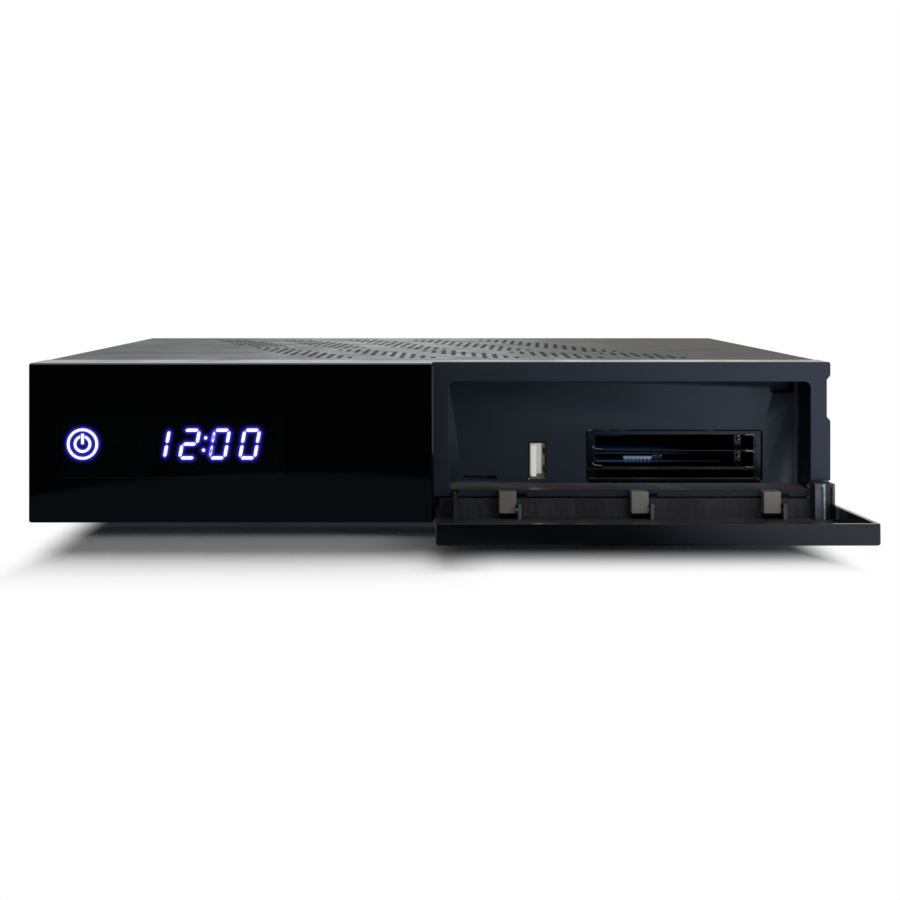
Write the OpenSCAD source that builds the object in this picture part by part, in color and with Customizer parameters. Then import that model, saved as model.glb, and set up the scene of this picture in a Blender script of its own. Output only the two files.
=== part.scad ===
// Satellite television receiver: a low steel case with a glossy clock panel on the left of its front
// and, on the right, a fold-down door in front of a bay with card, memory and USB slots.
// X runs to the viewer's right, Y from the front to the rear, Z up from the table. Sizes are millimetres.
// Every sub-part is drawn with the clock panel's face on Y = 0. placed() then moves the whole receiver so
// that the origin is under the middle of its outline, with the door open.

/* [Case] */
// Width of the case across the front bezel
body_w = 270; // [264:1:290]
// Height of the case without its feet
body_h = 53.4; // [52:0.2:60]
// Depth of the case from the clock panel's face to the rear panel
body_d = 200; // [192:1:225]
// Thickness of the steel sheet in the chassis and the cover
sheet_t = 0.8; // [0.6:0.1:1.1]
// Outer radius of the cover's two long bends
cover_bend_r = 2; // [1.4:0.1:3]
// Height of each rubber foot
foot_h = 5; // [3:0.5:8]
// Largest diameter of each rubber foot
foot_d = 16; // [12:0.5:20]
// Distance of the feet from the sides of the case
foot_inset = 25; // [20:1:40]

/* [Bezel] */
// Depth of the plastic bezel from the clock panel's face
bezel_d = 20; // [18:0.5:24]
// Wall thickness of the bezel
bezel_wall = 2; // [1.6:0.1:2.4]
// Place of the seam between clock panel and door, right of the middle
seam_x = 0.6; // [-6:0.2:6]
// Width of the seam
seam_gap = 0.5; // [0.3:0.1:1]
// Width of the bezel frame left of the bay
frame_left = 5; // [4:0.2:7]
// Width of the bezel frame right of the bay
frame_right = 6.8; // [6.4:0.2:8]
// Height of the bezel frame above the bay
frame_top = 6.7; // [6:0.1:8]
// Height of the bay's floor above the underside of the case
bay_floor = 10; // [9.6:0.1:11]
// Depth of the bay behind the bezel's face
bay_d = 15; // [12:0.5:18]
// Corner radius of the bay
bay_r = 2; // [1:0.2:3]
// Depth of the finger notch in the bezel's right side
finger_notch_d = 1.2; // [0.6:0.1:1.5]

/* [Door] */
// Thickness of the door and of the clock panel
door_t = 6.6; // [6:0.1:8]
// Thickness of the door's skin and rims
door_skin = 1.5; // [1.2:0.1:1.8]
// Gap between the closed door and the bezel's face
door_gap = 0.2; // [0.1:0.05:0.5]
// Gap between the door's right edge and the side of the case
door_side_gap = 0.2; // [0.2:0.1:1]
// Distance of the hinge axis behind the closed door's face
pivot_back = 3.9; // [3.8:0.05:4.2]
// Height of the hinge axis above the closed door's lower edge
pivot_up = 3.3; // [3.2:0.05:3.5]
// Angle from closed to the open stop, in degrees
door_open = 88; // [80:1:90]
// Diameter of each hinge pin
pin_d = 2; // [1.6:0.1:2.2]
// Width of each hinge knuckle
knuckle_w = 5.8; // [5:0.2:7]
// Distance of the first knuckle's middle from the door's left edge
knuckle_first = 24.4; // [18:0.2:30]
// Distance of the last knuckle's middle from the door's right edge
knuckle_last = 20.7; // [17:0.1:26]

/* [Clock panel] */
// Thickness of the clock panel's smoked face
panel_skin = 2.5; // [2:0.1:3]
// Height of the clock's digits
digit_h = 10.3; // [8:0.1:13]
// Distance between neighbouring digits
digit_pitch = 10.1; // [9:0.1:12]
// Width of a digit's lit bars
bar_w = 1; // [0.7:0.1:1.3]
// Outer diameter of the lit touch mark
mark_d = 10.4; // [9:0.1:12]

/* [Slots and sockets] */
// Width of the opening for card modules
module_opening_w = 61.9; // [60:0.1:64]
// Height of the opening for card modules
module_opening_h = 18.6; // [18.4:0.1:20]
// Clear width of a card module's slot
module_slot_w = 55.4; // [54.6:0.1:56.4]
// Clear height of a card module's slot
module_slot_h = 5.2; // [5.1:0.05:5.3]
// Length of the cage that guides the card modules
cage_l = 72; // [60:1:76]
// Length of the front USB shell
usb_l = 14; // [12:0.5:16]
// Thread diameter of the aerial sockets
aerial_d = 9.5; // [9:0.1:10]
// Length by which the aerial sockets stand out of the rear panel
aerial_l = 13; // [11:0.5:15]
// Radius of the audio socket's bore
audio_bore_r = 1.8; // [1.7:0.05:2]

/* [Vents] */
// Width of each slot in the cover
vent_w = 1.7; // [1.2:0.1:2.2]
// Length of each slot in the cover
vent_l = 6.6; // [5:0.2:7.6]
// Distance between slots across a group
vent_pitch_x = 3.8; // [3.4:0.1:4.2]
// Distance between slots along a group
vent_pitch_y = 9; // [8.4:0.1:9.6]
// Distance between neighbouring groups of slots
vent_group_pitch = 30; // [28:0.5:33]
// Rows in the shortest group at the rear; each group to its right has one more
vent_rear_rows = 8; // [5:1:8]
// Rows in the longest group at the front; each group to its right has one less
vent_front_rows = 8; // [6:1:8]
// Sideways step from one row to the next in the rear groups
vent_rear_lean = 3; // [2:0.1:3.4]
// Sideways step from one row to the next in the front groups
vent_front_lean = 3.6; // [3:0.1:4]

/* [Boards] */
// Thickness of the printed circuit boards
board_t = 1.6; // [1:0.1:2]
// Height of the stand-offs under the main board
standoff_h = 6; // [5.4:0.1:6.4]
// Number of fins on the heat sink
fin_count = 9; // [5:1:11]
// Height of the heat sink's fins
fin_h = 20; // [12:1:26]

/* [Hidden] */
$fn = 48;

// Clearances and cutting allowance
cut = 1;
fit = 0.2;
running = 0.05;

// Case levels and sides
half_w = body_w / 2;
case_z = foot_h;
top_z = case_z + body_h;
floor_top = case_z + sheet_t;
chassis_x = half_w - sheet_t - fit;
chassis_y = bezel_d;
cover_y = bezel_d + 0.4;
rear_top = top_z - sheet_t - fit;

// Bezel and bay
face_y = door_t + door_gap;
bay_x = [seam_x + frame_left, half_w - frame_right];
bay_y = face_y + bay_d;
bay_back = bay_y + bezel_wall;
bay_z = [case_z + bay_floor, top_z - frame_top];
corner_r = 0.8;
module_corner_r = 1.4;

// Door and hinge, with the door closed
door_x = [seam_x + seam_gap / 2, half_w - door_side_gap];
pivot_y = pivot_back;
pivot_z = case_z + pivot_up;
rail_wall = 1.2;
rail_depth = door_t + 1.2;
rail_sweep = norm([max(rail_depth - pivot_back, pivot_back), pivot_up]);
strip_z = pivot_z + sqrt(pow(rail_sweep + 0.3, 2) - pow(face_y - pivot_y, 2));
trough_y = pivot_y + rail_sweep + 0.4;
knuckle_pitch = (door_x[1] - door_x[0] - knuckle_first - knuckle_last) / 2;
knuckle_x = [for (i = [0:2]) door_x[0] + knuckle_first + i * knuckle_pitch];
knuckle_r = min(pivot_back - door_skin, pivot_up - rail_wall) - 0.2;
knuckle_top = case_z + bay_floor;
knuckle_deep = trough_y + bezel_wall;
ear_t = 1.2;
ear_gap = 0.4;
ear_h = 6.9;
left_ear_h = 7.4;
left_ear_deep = 10.2;
arm_x = [half_w - 6.9, door_x[1]];
arm_h = 6.6;
arm_recess = 0.7;
arm_web = [arm_h - arm_recess - rail_wall, arm_h - arm_recess];
arm_deep = 13.4;
arm_sweep = norm([arm_deep - pivot_back, arm_h - pivot_up]);

// Vents: columns in a group and the first group's rear left slot and front left slot
vent_columns = 5;
vent_rear_x = -half_w + 38;
vent_rear_y = body_d - 23;
vent_front_x = vent_rear_x + 27;
vent_front_y = cover_y + 14.6;

// Boards
board_z = floor_top + standoff_h;
board_top = board_z + board_t;
board_x = [-half_w + 7, half_w - 6];
board_y = [bay_back + 3.2, body_d - 2.5];
screw_d = 3;
standoff_d = 6;
processor_at = [board_x[0] + 91, board_y[0] + 86];
processor_size = [30, 30, 2.2];
sink_size = [46, 46, 3];
fin_t = 1.4;
board_fixings = [
    for (x = [board_x[0] + 6, processor_at[0] + 31, board_x[1] - 10],
        y = [board_y[0] + 8, board_y[1] - 34]) [x, y]
];

// Clock panel: digits, touch mark and the window behind the smoked face
clock_x = seam_x - 77.1;
clock_z = case_z + 26.1;
clock_size = [43, 17.2];
mark_x = -half_w + 17.5;
receiver_x = seam_x - 35.6;
receiver_size = [7, 8];
digit_w = digit_h * 0.58;
digit_slant = 10;
window_x = [-half_w + 9.6, seam_x - 49.9];
window_z = [clock_z - 10.9, clock_z + 10.3];
lamp_y = panel_skin + 0.4;
lamp_t = 0.3;
front_board_y = face_y + bezel_wall + 3.4;
front_board_x = [-half_w + 5, seam_x - 8.6];
front_board_z = [case_z + 9, top_z - 8];
front_board_pegs = [for (x = [front_board_x[0] + 4, front_board_x[1] - 4], z = [front_board_z[0] + 4,
    front_board_z[1] - 4]) [x, z]];

// Card module opening, front USB socket, memory card slot and catch pocket
module_x = [bay_x[1] - 12.6 - module_opening_w, bay_x[1] - 12.6];
module_z = [bay_z[0] + 0.2, bay_z[0] + 0.2 + module_opening_h];
cage_x = [module_x[0] + 0.4, module_x[1] - 0.4];
cage_y = bay_y + 0.5;
cage_mid = (cage_x[0] + cage_x[1]) / 2;
reader_z = [module_z[0] + 0.4, module_z[0] + 5];
reader_slot_h = 2.8;
cage_z = [reader_z[1], module_z[1] - 0.4];
slot_shelf = 0.6;
shield_t = 0.4;
slot_z = [cage_z[0] + 0.7, cage_z[0] + 0.7 + module_slot_h + slot_shelf];
usb_x = bay_x[0] + 31.15;
usb_size = [5.7, 13.1];
usb_wall = 0.3;
usb_z = bay_z[0] + 1.3;
memory_x = bay_x[0] + 11.15;
memory_z = bay_z[0] + 1.25;
memory_size = [12.1, 1.5];
pocket_x = [bay_x[1] - 10, bay_x[1] - 1.6];
pocket_z = [bay_z[1] - 5, bay_z[1] - 1];
pocket_deep = 6;
catch_x = [pocket_x[0] - 23, pocket_x[0] - 9];

// Rear sockets, from the viewer's right to left, which share the rest of the rear panel in equal gaps
nut_w = 14;
nut_t = 2.4;
hdmi_size = [15.2, 5.8];
network_size = [16.2, 13.6];
rear_usb_size = [14.4, 15.8];
optical_size = [9.8, 10.4];
audio_size = [9, 9.6];
dc_size = [9, 11];
switch_size = [18.6, 12.2];
switch_rim = [21.6, 14.8];
rear_widths = [
    nut_w, nut_w, nut_w, nut_w, hdmi_size[0], hdmi_size[0], network_size[0], rear_usb_size[0],
    optical_size[0], audio_size[0], dc_size[0], switch_rim[0]
];
rear_edge = 9;
function sum_to(n) = n < 0 ? 0 : rear_widths[n] + sum_to(n - 1);
rear_gap = (2 * (chassis_x - rear_edge) - sum_to(len(rear_widths) - 1)) / (len(rear_widths) - 1);
function rear_place(n) = chassis_x - rear_edge - n * rear_gap - sum_to(n) + rear_widths[n] / 2;
aerial_x = [for (n = [0:3]) rear_place(n)];
aerial_z = board_top + 11;
hdmi_x = [rear_place(4), rear_place(5)];
network_x = rear_place(6);
rear_usb_x = rear_place(7);
optical_x = rear_place(8);
shutter_pin_d = 1;
thread_h = 0.4;
audio_x = rear_place(9);
dc_x = rear_place(10);
switch_x = rear_place(11);
switch_z = board_top + 10;
rocker_tilt = 7;
rocker_pivot_y = body_d - 1;
shutter_inset = 1.8;
shutter_y = body_d - shutter_inset;
shutter_z = board_top + optical_size[1] - 2.2;
tuner_size = [2 * (aerial_x[0] - aerial_x[1]) - 3, 60, 15];
tuner_x = [(aerial_x[0] + aerial_x[1]) / 2, (aerial_x[2] + aerial_x[3]) / 2];
tuner_y = body_d - sheet_t - 1.6 - tuner_size[1];

// Fixings through the cover's rear tabs, the bezel's bosses and under the feet
tab_x = [-half_w + 45, 0, half_w - 45];
tab_size = [15, 10];
boss_x = [-half_w + 17, seam_x - 34.6, seam_x + 33.4, half_w - 17];
boss_z = case_z + 4;
boss_d = 6.4;
foot_y = [45, body_d - 30];

// Outline with the door open, which places the origin
door_reach = (body_h - pivot_up) * sin(door_open) + pivot_back * cos(door_open) - pivot_back;
aerial_end = body_d + aerial_l;
front_y = (door_reach - aerial_end) / 2;

module placed() translate([0, front_y, 0]) children();

// ---- Shapes used by several sub-parts ----

// A block given by its lowest and highest X, Y and Z
module span(x, y, z) translate([x[0], y[0], z[0]]) cube([x[1] - x[0], y[1] - y[0], z[1] - z[0]]);

module rounded_rect(w, h, r) {
    translate([r, 0]) square([w - 2 * r, h]);
    translate([0, r]) square([w, h - 2 * r]);
    for (x = [r, w - r], y = [r, h - r]) translate([x, y]) circle(r);
}

// A plate facing the viewer, with rounded corners
module slab(x, y, z, r) translate([x[0], y[1], z[0]]) rotate([90, 0, 0])
    linear_extrude(y[1] - y[0]) rounded_rect(x[1] - x[0], z[1] - z[0], r);

module rod_x(x, y, z, d) translate([x[0], y, z]) rotate([0, 90, 0]) cylinder(h = x[1] - x[0], d = d);
module rod_y(x, y, z, d) translate([x, y[0], z]) rotate([-90, 0, 0]) cylinder(h = y[1] - y[0], d = d);
module rod_z(x, y, z, d) translate([x, y, z[0]]) cylinder(h = z[1] - z[0], d = d);

// An outline drawn in Y and Z, extruded along X
module profile_x(x, points) translate([x[0], 0, 0]) rotate([90, 0, 90])
    linear_extrude(x[1] - x[0]) polygon(points);

// A plate with its front edge eased all round
module eased_plate(x, y, z, ease) hull() {
    slab([x[0] + ease, x[1] - ease], [y[0], y[0] + ease], [z[0] + ease, z[1] - ease], corner_r - ease / 2);
    slab(x, [y[0] + ease, y[1]], z, corner_r);
}

// A pan-head screw with a cross recess, its head's seat on the XY plane and its shank along -Z
module pan_screw(shank, d = screw_d) difference() {
    union() {
        translate([0, 0, -shank]) cylinder(h = shank + 0.1, d = d);
        cylinder(h = 1.6, d = 1.8 * d);
    }
    for (a = [0, 90]) rotate(a) translate([-d / 2, -0.35, 0.7]) cube([d, 0.7, cut + 1]);
}

// ---- Steel case ----

// A leaf with its tips at the rear left and the front right, each position running from 0 to 1
function in_leaf(across, along) = abs(across - along) < 0.8;

// One leaf-shaped group of slots, leaning to the right towards the front, from its rear left slot
module vent_group(x, y, rows, lean) for (j = [0:rows - 1], i = [0:vent_columns - 1])
    if (in_leaf(i / (vent_columns - 1), j / (rows - 1)))
        translate([x + i * vent_pitch_x + j * lean - vent_w / 2, y - j * vent_pitch_y - vent_l / 2])
            square([vent_w, vent_l]);

// Five groups behind and five in front, whose common border slants to the front on the right
module vent_field() for (i = [0:4]) {
    vent_group(vent_rear_x + i * vent_group_pitch, vent_rear_y, vent_rear_rows + i, vent_rear_lean);
    vent_group(vent_front_x + i * (vent_group_pitch + vent_front_lean), vent_front_y
        + (vent_front_rows - i - 1) * vent_pitch_y, vent_front_rows - i, vent_front_lean);
}

module cover_section() difference() {
    translate([-half_w, case_z + 0.6]) rounded_rect(body_w, body_h - 0.6, cover_bend_r);
    translate([-half_w + sheet_t, case_z - 3])
        rounded_rect(body_w - 2 * sheet_t, body_h + 3 - sheet_t, cover_bend_r - sheet_t);
    translate([-half_w - cut, case_z]) square([body_w + 2 * cut, 0.6 + cover_bend_r]);
}

module top_cover() color("#6b6d6e") difference() {
    union() {
        translate([0, body_d + sheet_t, 0]) rotate([90, 0, 0])
            linear_extrude(body_d + sheet_t - cover_y) cover_section();
        lip_z = top_z - bezel_wall - sheet_t - 0.1;
        span([-chassis_x + 4, chassis_x - 4], [cover_y - 4.5, cover_y + sheet_t], [lip_z, lip_z + sheet_t]);
        span([-chassis_x + 4, chassis_x - 4], [cover_y, cover_y + sheet_t], [lip_z, top_z - sheet_t / 2]);
        for (x = tab_x) span([x - tab_size[0] / 2, x + tab_size[0] / 2], [body_d, body_d + sheet_t],
            [top_z - tab_size[1], top_z - sheet_t / 2]);
    }
    translate([0, 0, top_z - sheet_t - cut]) linear_extrude(sheet_t + 2 * cut) vent_field();
    for (x = tab_x) rod_y(x, [body_d - cut, body_d + sheet_t + cut], top_z - tab_size[1] / 2 - 1, screw_d);
}

module rear_cutouts() {
    y = [body_d - sheet_t - cut, body_d + cut];
    for (x = aerial_x) rod_y(x, y, aerial_z, aerial_d + 0.6);
    for (x = hdmi_x) span([x - hdmi_size[0] / 2 - fit, x + hdmi_size[0] / 2 + fit], y,
        [board_top + 0.4, board_top + 1 + hdmi_size[1] + fit]);
    span([network_x - network_size[0] / 2 - fit, network_x + network_size[0] / 2 + fit], y,
        [board_top - fit, board_top + network_size[1] + fit]);
    span([rear_usb_x - rear_usb_size[0] / 2 - fit, rear_usb_x + rear_usb_size[0] / 2 + fit], y,
        [board_top - fit, board_top + rear_usb_size[1] + fit]);
    span([optical_x - optical_size[0] / 2 - fit, optical_x + optical_size[0] / 2 + fit], y,
        [board_top - fit, board_top + optical_size[1] + fit]);
    rod_y(audio_x, y, board_top + audio_size[1] / 2, 7.2);
    span([dc_x - dc_size[0] / 2 - fit, dc_x + dc_size[0] / 2 + fit], y,
        [board_top - fit, board_top + dc_size[1] + fit]);
    span([switch_x - switch_size[0] / 2 - fit, switch_x + switch_size[0] / 2 + fit], y,
        [switch_z - switch_size[1] / 2 - fit, switch_z + switch_size[1] / 2 + fit]);
    for (i = [0:17]) translate([rear_usb_x - 6 + i * 8, 0, 0]) span([-1.1, 1.1], y,
        [rear_top - 16, rear_top - 6]);
    for (x = tab_x) rod_y(x, y, top_z - tab_size[1] / 2 - 1, screw_d);
}

module bottom_chassis() color("#8d9194") difference() {
    union() {
        span([-chassis_x, chassis_x], [chassis_y, body_d], [case_z, floor_top]);
        for (s = [-1, 1]) translate([s * (chassis_x - sheet_t / 2), 0, 0])
            span([-sheet_t / 2, sheet_t / 2], [chassis_y, body_d], [case_z, case_z + 14]);
        span([-chassis_x, chassis_x], [chassis_y, chassis_y + sheet_t], [case_z, boss_z + 3.2]);
    }
    for (x = boss_x) rod_y(x, [chassis_y - cut, chassis_y + sheet_t + cut], boss_z, screw_d);
    for (i = [-4:5], y = [-35, -5]) translate([processor_at[0] + i * 12, processor_at[1] + y, 0])
        span([-2, 2], [0, 18], [case_z - cut, floor_top + cut]);
}

module rear_panel() color("#8d9194") difference() {
    span([-chassis_x + sheet_t, chassis_x - sheet_t], [body_d - sheet_t, body_d], [floor_top, rear_top]);
    rear_cutouts();
}

module foot(x, y) color("#1c1c1e") difference() {
    translate([x, y, 0]) cylinder(h = foot_h, d1 = foot_d - 1, d2 = foot_d);
    rod_z(x, y, [-cut, foot_h * 0.4], foot_d * 0.4);
}

module cover_screws() color("#26282a") for (x = tab_x)
    translate([x, body_d + sheet_t, top_z - tab_size[1] / 2 - 1]) rotate([-90, 0, 0]) pan_screw(5);

// ---- Front bezel and clock panel ----

// The space swept by the door's ears and stop arm where they pass through the bezel's face
module hinge_relief() {
    span([door_x[0] - 0.3, half_w + cut], [face_y - cut, trough_y], [case_z - cut, strip_z]);
    for (x = knuckle_x) {
        ear = x + knuckle_w / 2 + ear_gap;
        rod_x([ear - 0.3, ear + ear_t + 2.2], pivot_y, pivot_z, 2 * (rail_sweep + 1.2));
    }
    rod_x([door_x[0] + 5.6, door_x[0] + 7.9], pivot_y, pivot_z,
        2 * (norm([left_ear_deep - pivot_back, left_ear_h - pivot_up]) + 0.4));
    rod_x([arm_x[0] - 0.3, half_w + cut], pivot_y, pivot_z, 2 * (arm_sweep + 0.4));
}

// A finger notch in the bezel's right side, with sloping ends
module finger_notch() translate([0, bezel_d + cut, 0]) rotate([90, 0, 0])
    linear_extrude(bezel_d - face_y + 2 * cut) polygon([
        [half_w + cut, top_z - 4.2], [half_w, top_z - 4.6], [half_w - finger_notch_d, top_z - 6],
        [half_w - finger_notch_d, top_z - 18.6], [half_w, top_z - 20], [half_w + cut, top_z - 20.4]
    ]);

module bay_openings() {
    y = [bay_y - cut, bay_back + cut];
    slab(module_x, y, module_z, module_corner_r);
    slab([usb_x - usb_size[0] / 2 - fit, usb_x + usb_size[0] / 2 + fit], y,
        [usb_z - fit, usb_z + usb_size[1] + fit], 0.4);
    span([memory_x - memory_size[0] / 2, memory_x + memory_size[0] / 2], y,
        [memory_z, memory_z + memory_size[1]]);
    slab(pocket_x, [bay_y - cut, bay_y + pocket_deep], pocket_z, 1);
}

module front_bezel() color("#2a303a") difference() {
    union() {
        difference() {
            slab([-half_w, half_w], [face_y, bezel_d], [case_z, top_z], corner_r);
            slab([-half_w + bezel_wall, half_w - bezel_wall], [face_y + bezel_wall, bezel_d + cut],
                [case_z + bezel_wall, top_z - bezel_wall], corner_r);
        }
        slab([bay_x[0] - bezel_wall, bay_x[1] + bezel_wall], [face_y, bay_back],
            [bay_z[0] - bezel_wall, bay_z[1] + bezel_wall], bay_r);
        slab([pocket_x[0] - 1.2, pocket_x[1] + 1.2], [bay_y, bay_y + pocket_deep + 1.2],
            [pocket_z[0] - 1.2, pocket_z[1] + 1.2], 1);
        span([door_x[0] - 0.3 - bezel_wall, half_w - bezel_wall / 2], [trough_y, trough_y + bezel_wall],
            [case_z, strip_z + 1]);
        span([door_x[0] - 0.3 - bezel_wall, door_x[0] - 0.3], [face_y, trough_y + bezel_wall],
            [case_z, strip_z + 1]);
        for (x = boss_x) rod_y(x, [x < 0 ? face_y + 0.5 : trough_y + 0.5, bezel_d], boss_z, boss_d);
        for (p = front_board_pegs) rod_y(p[0], [face_y + 0.5, front_board_y], p[1], 5);
    }
    slab(bay_x, [face_y - cut, bay_y], bay_z, bay_r);
    bay_openings();
    slab(window_x, [face_y - cut, face_y + bezel_wall + cut], window_z, 1);
    span([receiver_x - receiver_size[0] / 2 - fit, receiver_x + receiver_size[0] / 2 + fit],
        [face_y - cut, face_y + bezel_wall + cut],
        [clock_z - receiver_size[1] / 2 - fit, clock_z + receiver_size[1] / 2 + fit]);
    hinge_relief();
    finger_notch();
    for (x = boss_x) rod_y(x, [bezel_d - 6, bezel_d + cut], boss_z, screw_d);
    for (p = front_board_pegs) rod_y(p[0], [front_board_y - 3, front_board_y + cut], p[1], 2);
}

module display_panel() color("#08090b") difference() {
    eased_plate([-half_w, seam_x - seam_gap / 2], [0, door_t], [case_z, top_z], 0.5);
    span([-half_w + 2, seam_x - seam_gap / 2 - 2], [panel_skin, door_t + cut], [case_z + 2, top_z - 2]);
    slab(window_x, [-cut, panel_skin + cut], window_z, 1);
}

// A smoked pane that fills the clock panel's window, flush with its face
module display_lens() color("#17181d") slab(window_x, [0, panel_skin], window_z, 1);

module front_board() color("#14532d") difference() {
    span(front_board_x, [front_board_y, front_board_y + board_t], front_board_z);
    for (p = front_board_pegs) rod_y(p[0], [front_board_y - cut, front_board_y + board_t + cut], p[1], 2.2);
}

module front_board_screws() color("#b9bdc0") for (p = front_board_pegs)
    translate([p[0], front_board_y + board_t, p[1]]) rotate([-90, 0, 0]) pan_screw(4, 2);

module clock_display() color("#101114")
    slab([clock_x - clock_size[0] / 2, clock_x + clock_size[0] / 2], [lamp_y + lamp_t, front_board_y],
        [clock_z - clock_size[1] / 2, clock_z + clock_size[1] / 2], 0.6);

// Bar ends on the digit's own grid: x to the right and z up, in halves of its width and height
BARS = [
    [[-1, 1], [1, 1]], [[1, 1], [1, 0]], [[1, 0], [1, -1]], [[-1, -1], [1, -1]],
    [[-1, -1], [-1, 0]], [[-1, 0], [-1, 1]], [[-1, 0], [1, 0]]
];
DIGITS = [
    [0, 1, 1, 0, 0, 0, 0], [1, 1, 1, 1, 1, 1, 0], [1, 1, 0, 1, 1, 0, 1]
];
CLOCK = [0, 2, 1, 1];

function slanted(p) = [p[0] + p[1] * tan(digit_slant), p[1]];

// A lit bar with pointed ends between two corners of the digit's grid
module lit_bar(from, to) {
    a = [from[0] * (digit_w - bar_w) / 2, from[1] * (digit_h - bar_w) / 2];
    b = [to[0] * (digit_w - bar_w) / 2, to[1] * (digit_h - bar_w) / 2];
    along = (b - a) / norm(b - a);
    side = [-along[1], along[0]] * bar_w / 2;
    gap = 0.35;
    polygon([for (p = [
        a + along * gap, a + along * (gap + bar_w / 2) + side, b - along * (gap + bar_w / 2) + side,
        b - along * gap, b - along * (gap + bar_w / 2) - side, a + along * (gap + bar_w / 2) - side
    ]) slanted(p)]);
}

module clock_segments() color("#dfe0ff") translate([clock_x, lamp_y + lamp_t, clock_z]) rotate([90, 0, 0]) {
    for (i = [0:3], k = [0:6]) if (DIGITS[CLOCK[i]][k] == 1)
        translate([(i - 1.5) * digit_pitch, 0, 0]) linear_extrude(lamp_t) lit_bar(BARS[k][0], BARS[k][1]);
    for (z = [-1, 1]) translate([slanted([0, z * digit_h * 0.2])[0], z * digit_h * 0.2, 0])
        cylinder(h = lamp_t, d = bar_w, $fn = 24);
}

// A ring round the usual standby sign: a broken ring with an upright bar
module touch_key_light() color("#dfe0ff") translate([mark_x, lamp_y + lamp_t, clock_z]) rotate([90, 0, 0]) {
    stroke = 0.8;
    sign_d = mark_d * 0.56;
    difference() {
        cylinder(h = lamp_t, d = mark_d);
        translate([0, 0, -cut]) cylinder(h = lamp_t + 2 * cut, d = mark_d - 2 * stroke);
    }
    difference() {
        cylinder(h = lamp_t, d = sign_d);
        translate([0, 0, -cut]) cylinder(h = lamp_t + 2 * cut, d = sign_d - 2 * stroke);
        translate([-stroke, 0, -cut]) cube([2 * stroke, sign_d, lamp_t + 2 * cut]);
    }
    translate([-stroke / 2, 0, 0]) cube([stroke, sign_d / 2 + 0.5, lamp_t]);
    translate([-mark_d / 2 - 0.6, -mark_d / 2 - 0.6, -(front_board_y - lamp_y - lamp_t)])
        cube([mark_d + 1.2, mark_d + 1.2, front_board_y - lamp_y - lamp_t]);
}

module infrared_receiver() color("#17181c") union() {
    span([receiver_x - receiver_size[0] / 2, receiver_x + receiver_size[0] / 2], [lamp_y + 3, front_board_y],
        [clock_z - receiver_size[1] / 2, clock_z + receiver_size[1] / 2]);
    rod_y(receiver_x, [lamp_y + 1.2, lamp_y + 3.2], clock_z + 0.6, 4.4);
}

// ---- Boards and what they carry ----

module main_board() color("#14532d") difference() {
    span(board_x, board_y, [board_z, board_top]);
    for (p = board_fixings) rod_z(p[0], p[1], [board_z - cut, board_top + cut], screw_d);
}

module board_standoffs() color("#c9a227") for (p = board_fixings) difference() {
    rod_z(p[0], p[1], [floor_top, board_z], standoff_d);
    rod_z(p[0], p[1], [floor_top + 1, board_z + cut], screw_d);
}

module board_screws() color("#b9bdc0") for (p = board_fixings)
    translate([p[0], p[1], board_top]) pan_screw(board_t + standoff_h - 2);

module bezel_screws() color("#b9bdc0") for (x = boss_x)
    translate([x, chassis_y + sheet_t, boss_z]) rotate([-90, 0, 0]) pan_screw(5 + sheet_t);

// A flat cable from the clock panel's board down to the main board, bent in one smooth curve
module ribbon_cable() {
    start = [front_board_y + board_t, front_board_z[0] + 9];
    end = [board_y[0] + 9, board_top];
    reach = end[0] - start[0];
    thick = 0.3;
    line = [for (i = [0:12]) let (t = i / 12, u = 1 - t)
        u * u * u * start + 3 * u * u * t * (start + [reach * 0.9, 0])
        + 3 * u * t * t * (end + [-reach * 0.1, 7]) + t * t * t * end];
    color("#d8d8d2") profile_x([front_board_x[1] - 26, front_board_x[1] - 8],
        concat(line, [for (i = [12:-1:0]) line[i] + [thick, thick]]));
}

// A block standing at a place on the board, centred there
module block_at(at, size, z) translate([at[0] - size[0] / 2, at[1] - size[1] / 2, z]) cube(size);

module processor() color("#2b2d30") block_at(processor_at, processor_size, board_top);

module heat_sink() color("#9aa0a6") {
    base = board_top + processor_size[2];
    fin_step = (sink_size[0] - fin_t) / (fin_count - 1);
    block_at(processor_at, sink_size, base);
    for (i = [0:fin_count - 1])
        block_at(processor_at + [fin_t / 2 - sink_size[0] / 2 + i * fin_step, 0],
            [fin_t, sink_size[1], sink_size[2] + fin_h], base);
}

module memory_chips() color("#232529") for (i = [0:3])
    block_at(processor_at + [39, (i - 1.6) * 15], [12, 10, 1.2], board_top);

// Upright capacitors, each with its place from the board's rear left corner and its diameter
module capacitors() color("#30363d") for (p = [[16, 48, 10], [30, 46, 10], [44, 48, 8], [54, 42, 8]])
    rod_z(board_x[0] + p[0], board_y[1] - p[1], [board_top, board_top + p[2] * 1.5], p[2]);

module clock_battery() color("#c8ccd0") {
    battery_at = [board_x[0] + 32, board_y[0] + 43];
    rod_z(battery_at[0], battery_at[1], [board_top + 1, board_top + 4.2], 20);
    block_at(battery_at, [10, 26, 1], board_top);
}

module tuner(x) color("#b4b8bb") {
    span([x - tuner_size[0] / 2, x + tuner_size[0] / 2], [tuner_y, tuner_y + tuner_size[1]],
        [board_top + 3, board_top + 3 + tuner_size[2]]);
    leg_x = tuner_size[0] / 2 - 4;
    for (s = [-1, 1], y = [tuner_y + 4, tuner_y + tuner_size[1] - 8])
        span([x + s * leg_x - 1.5, x + s * leg_x + 1.5], [y, y + 4], [board_top, board_top + 3.1]);
}

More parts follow.
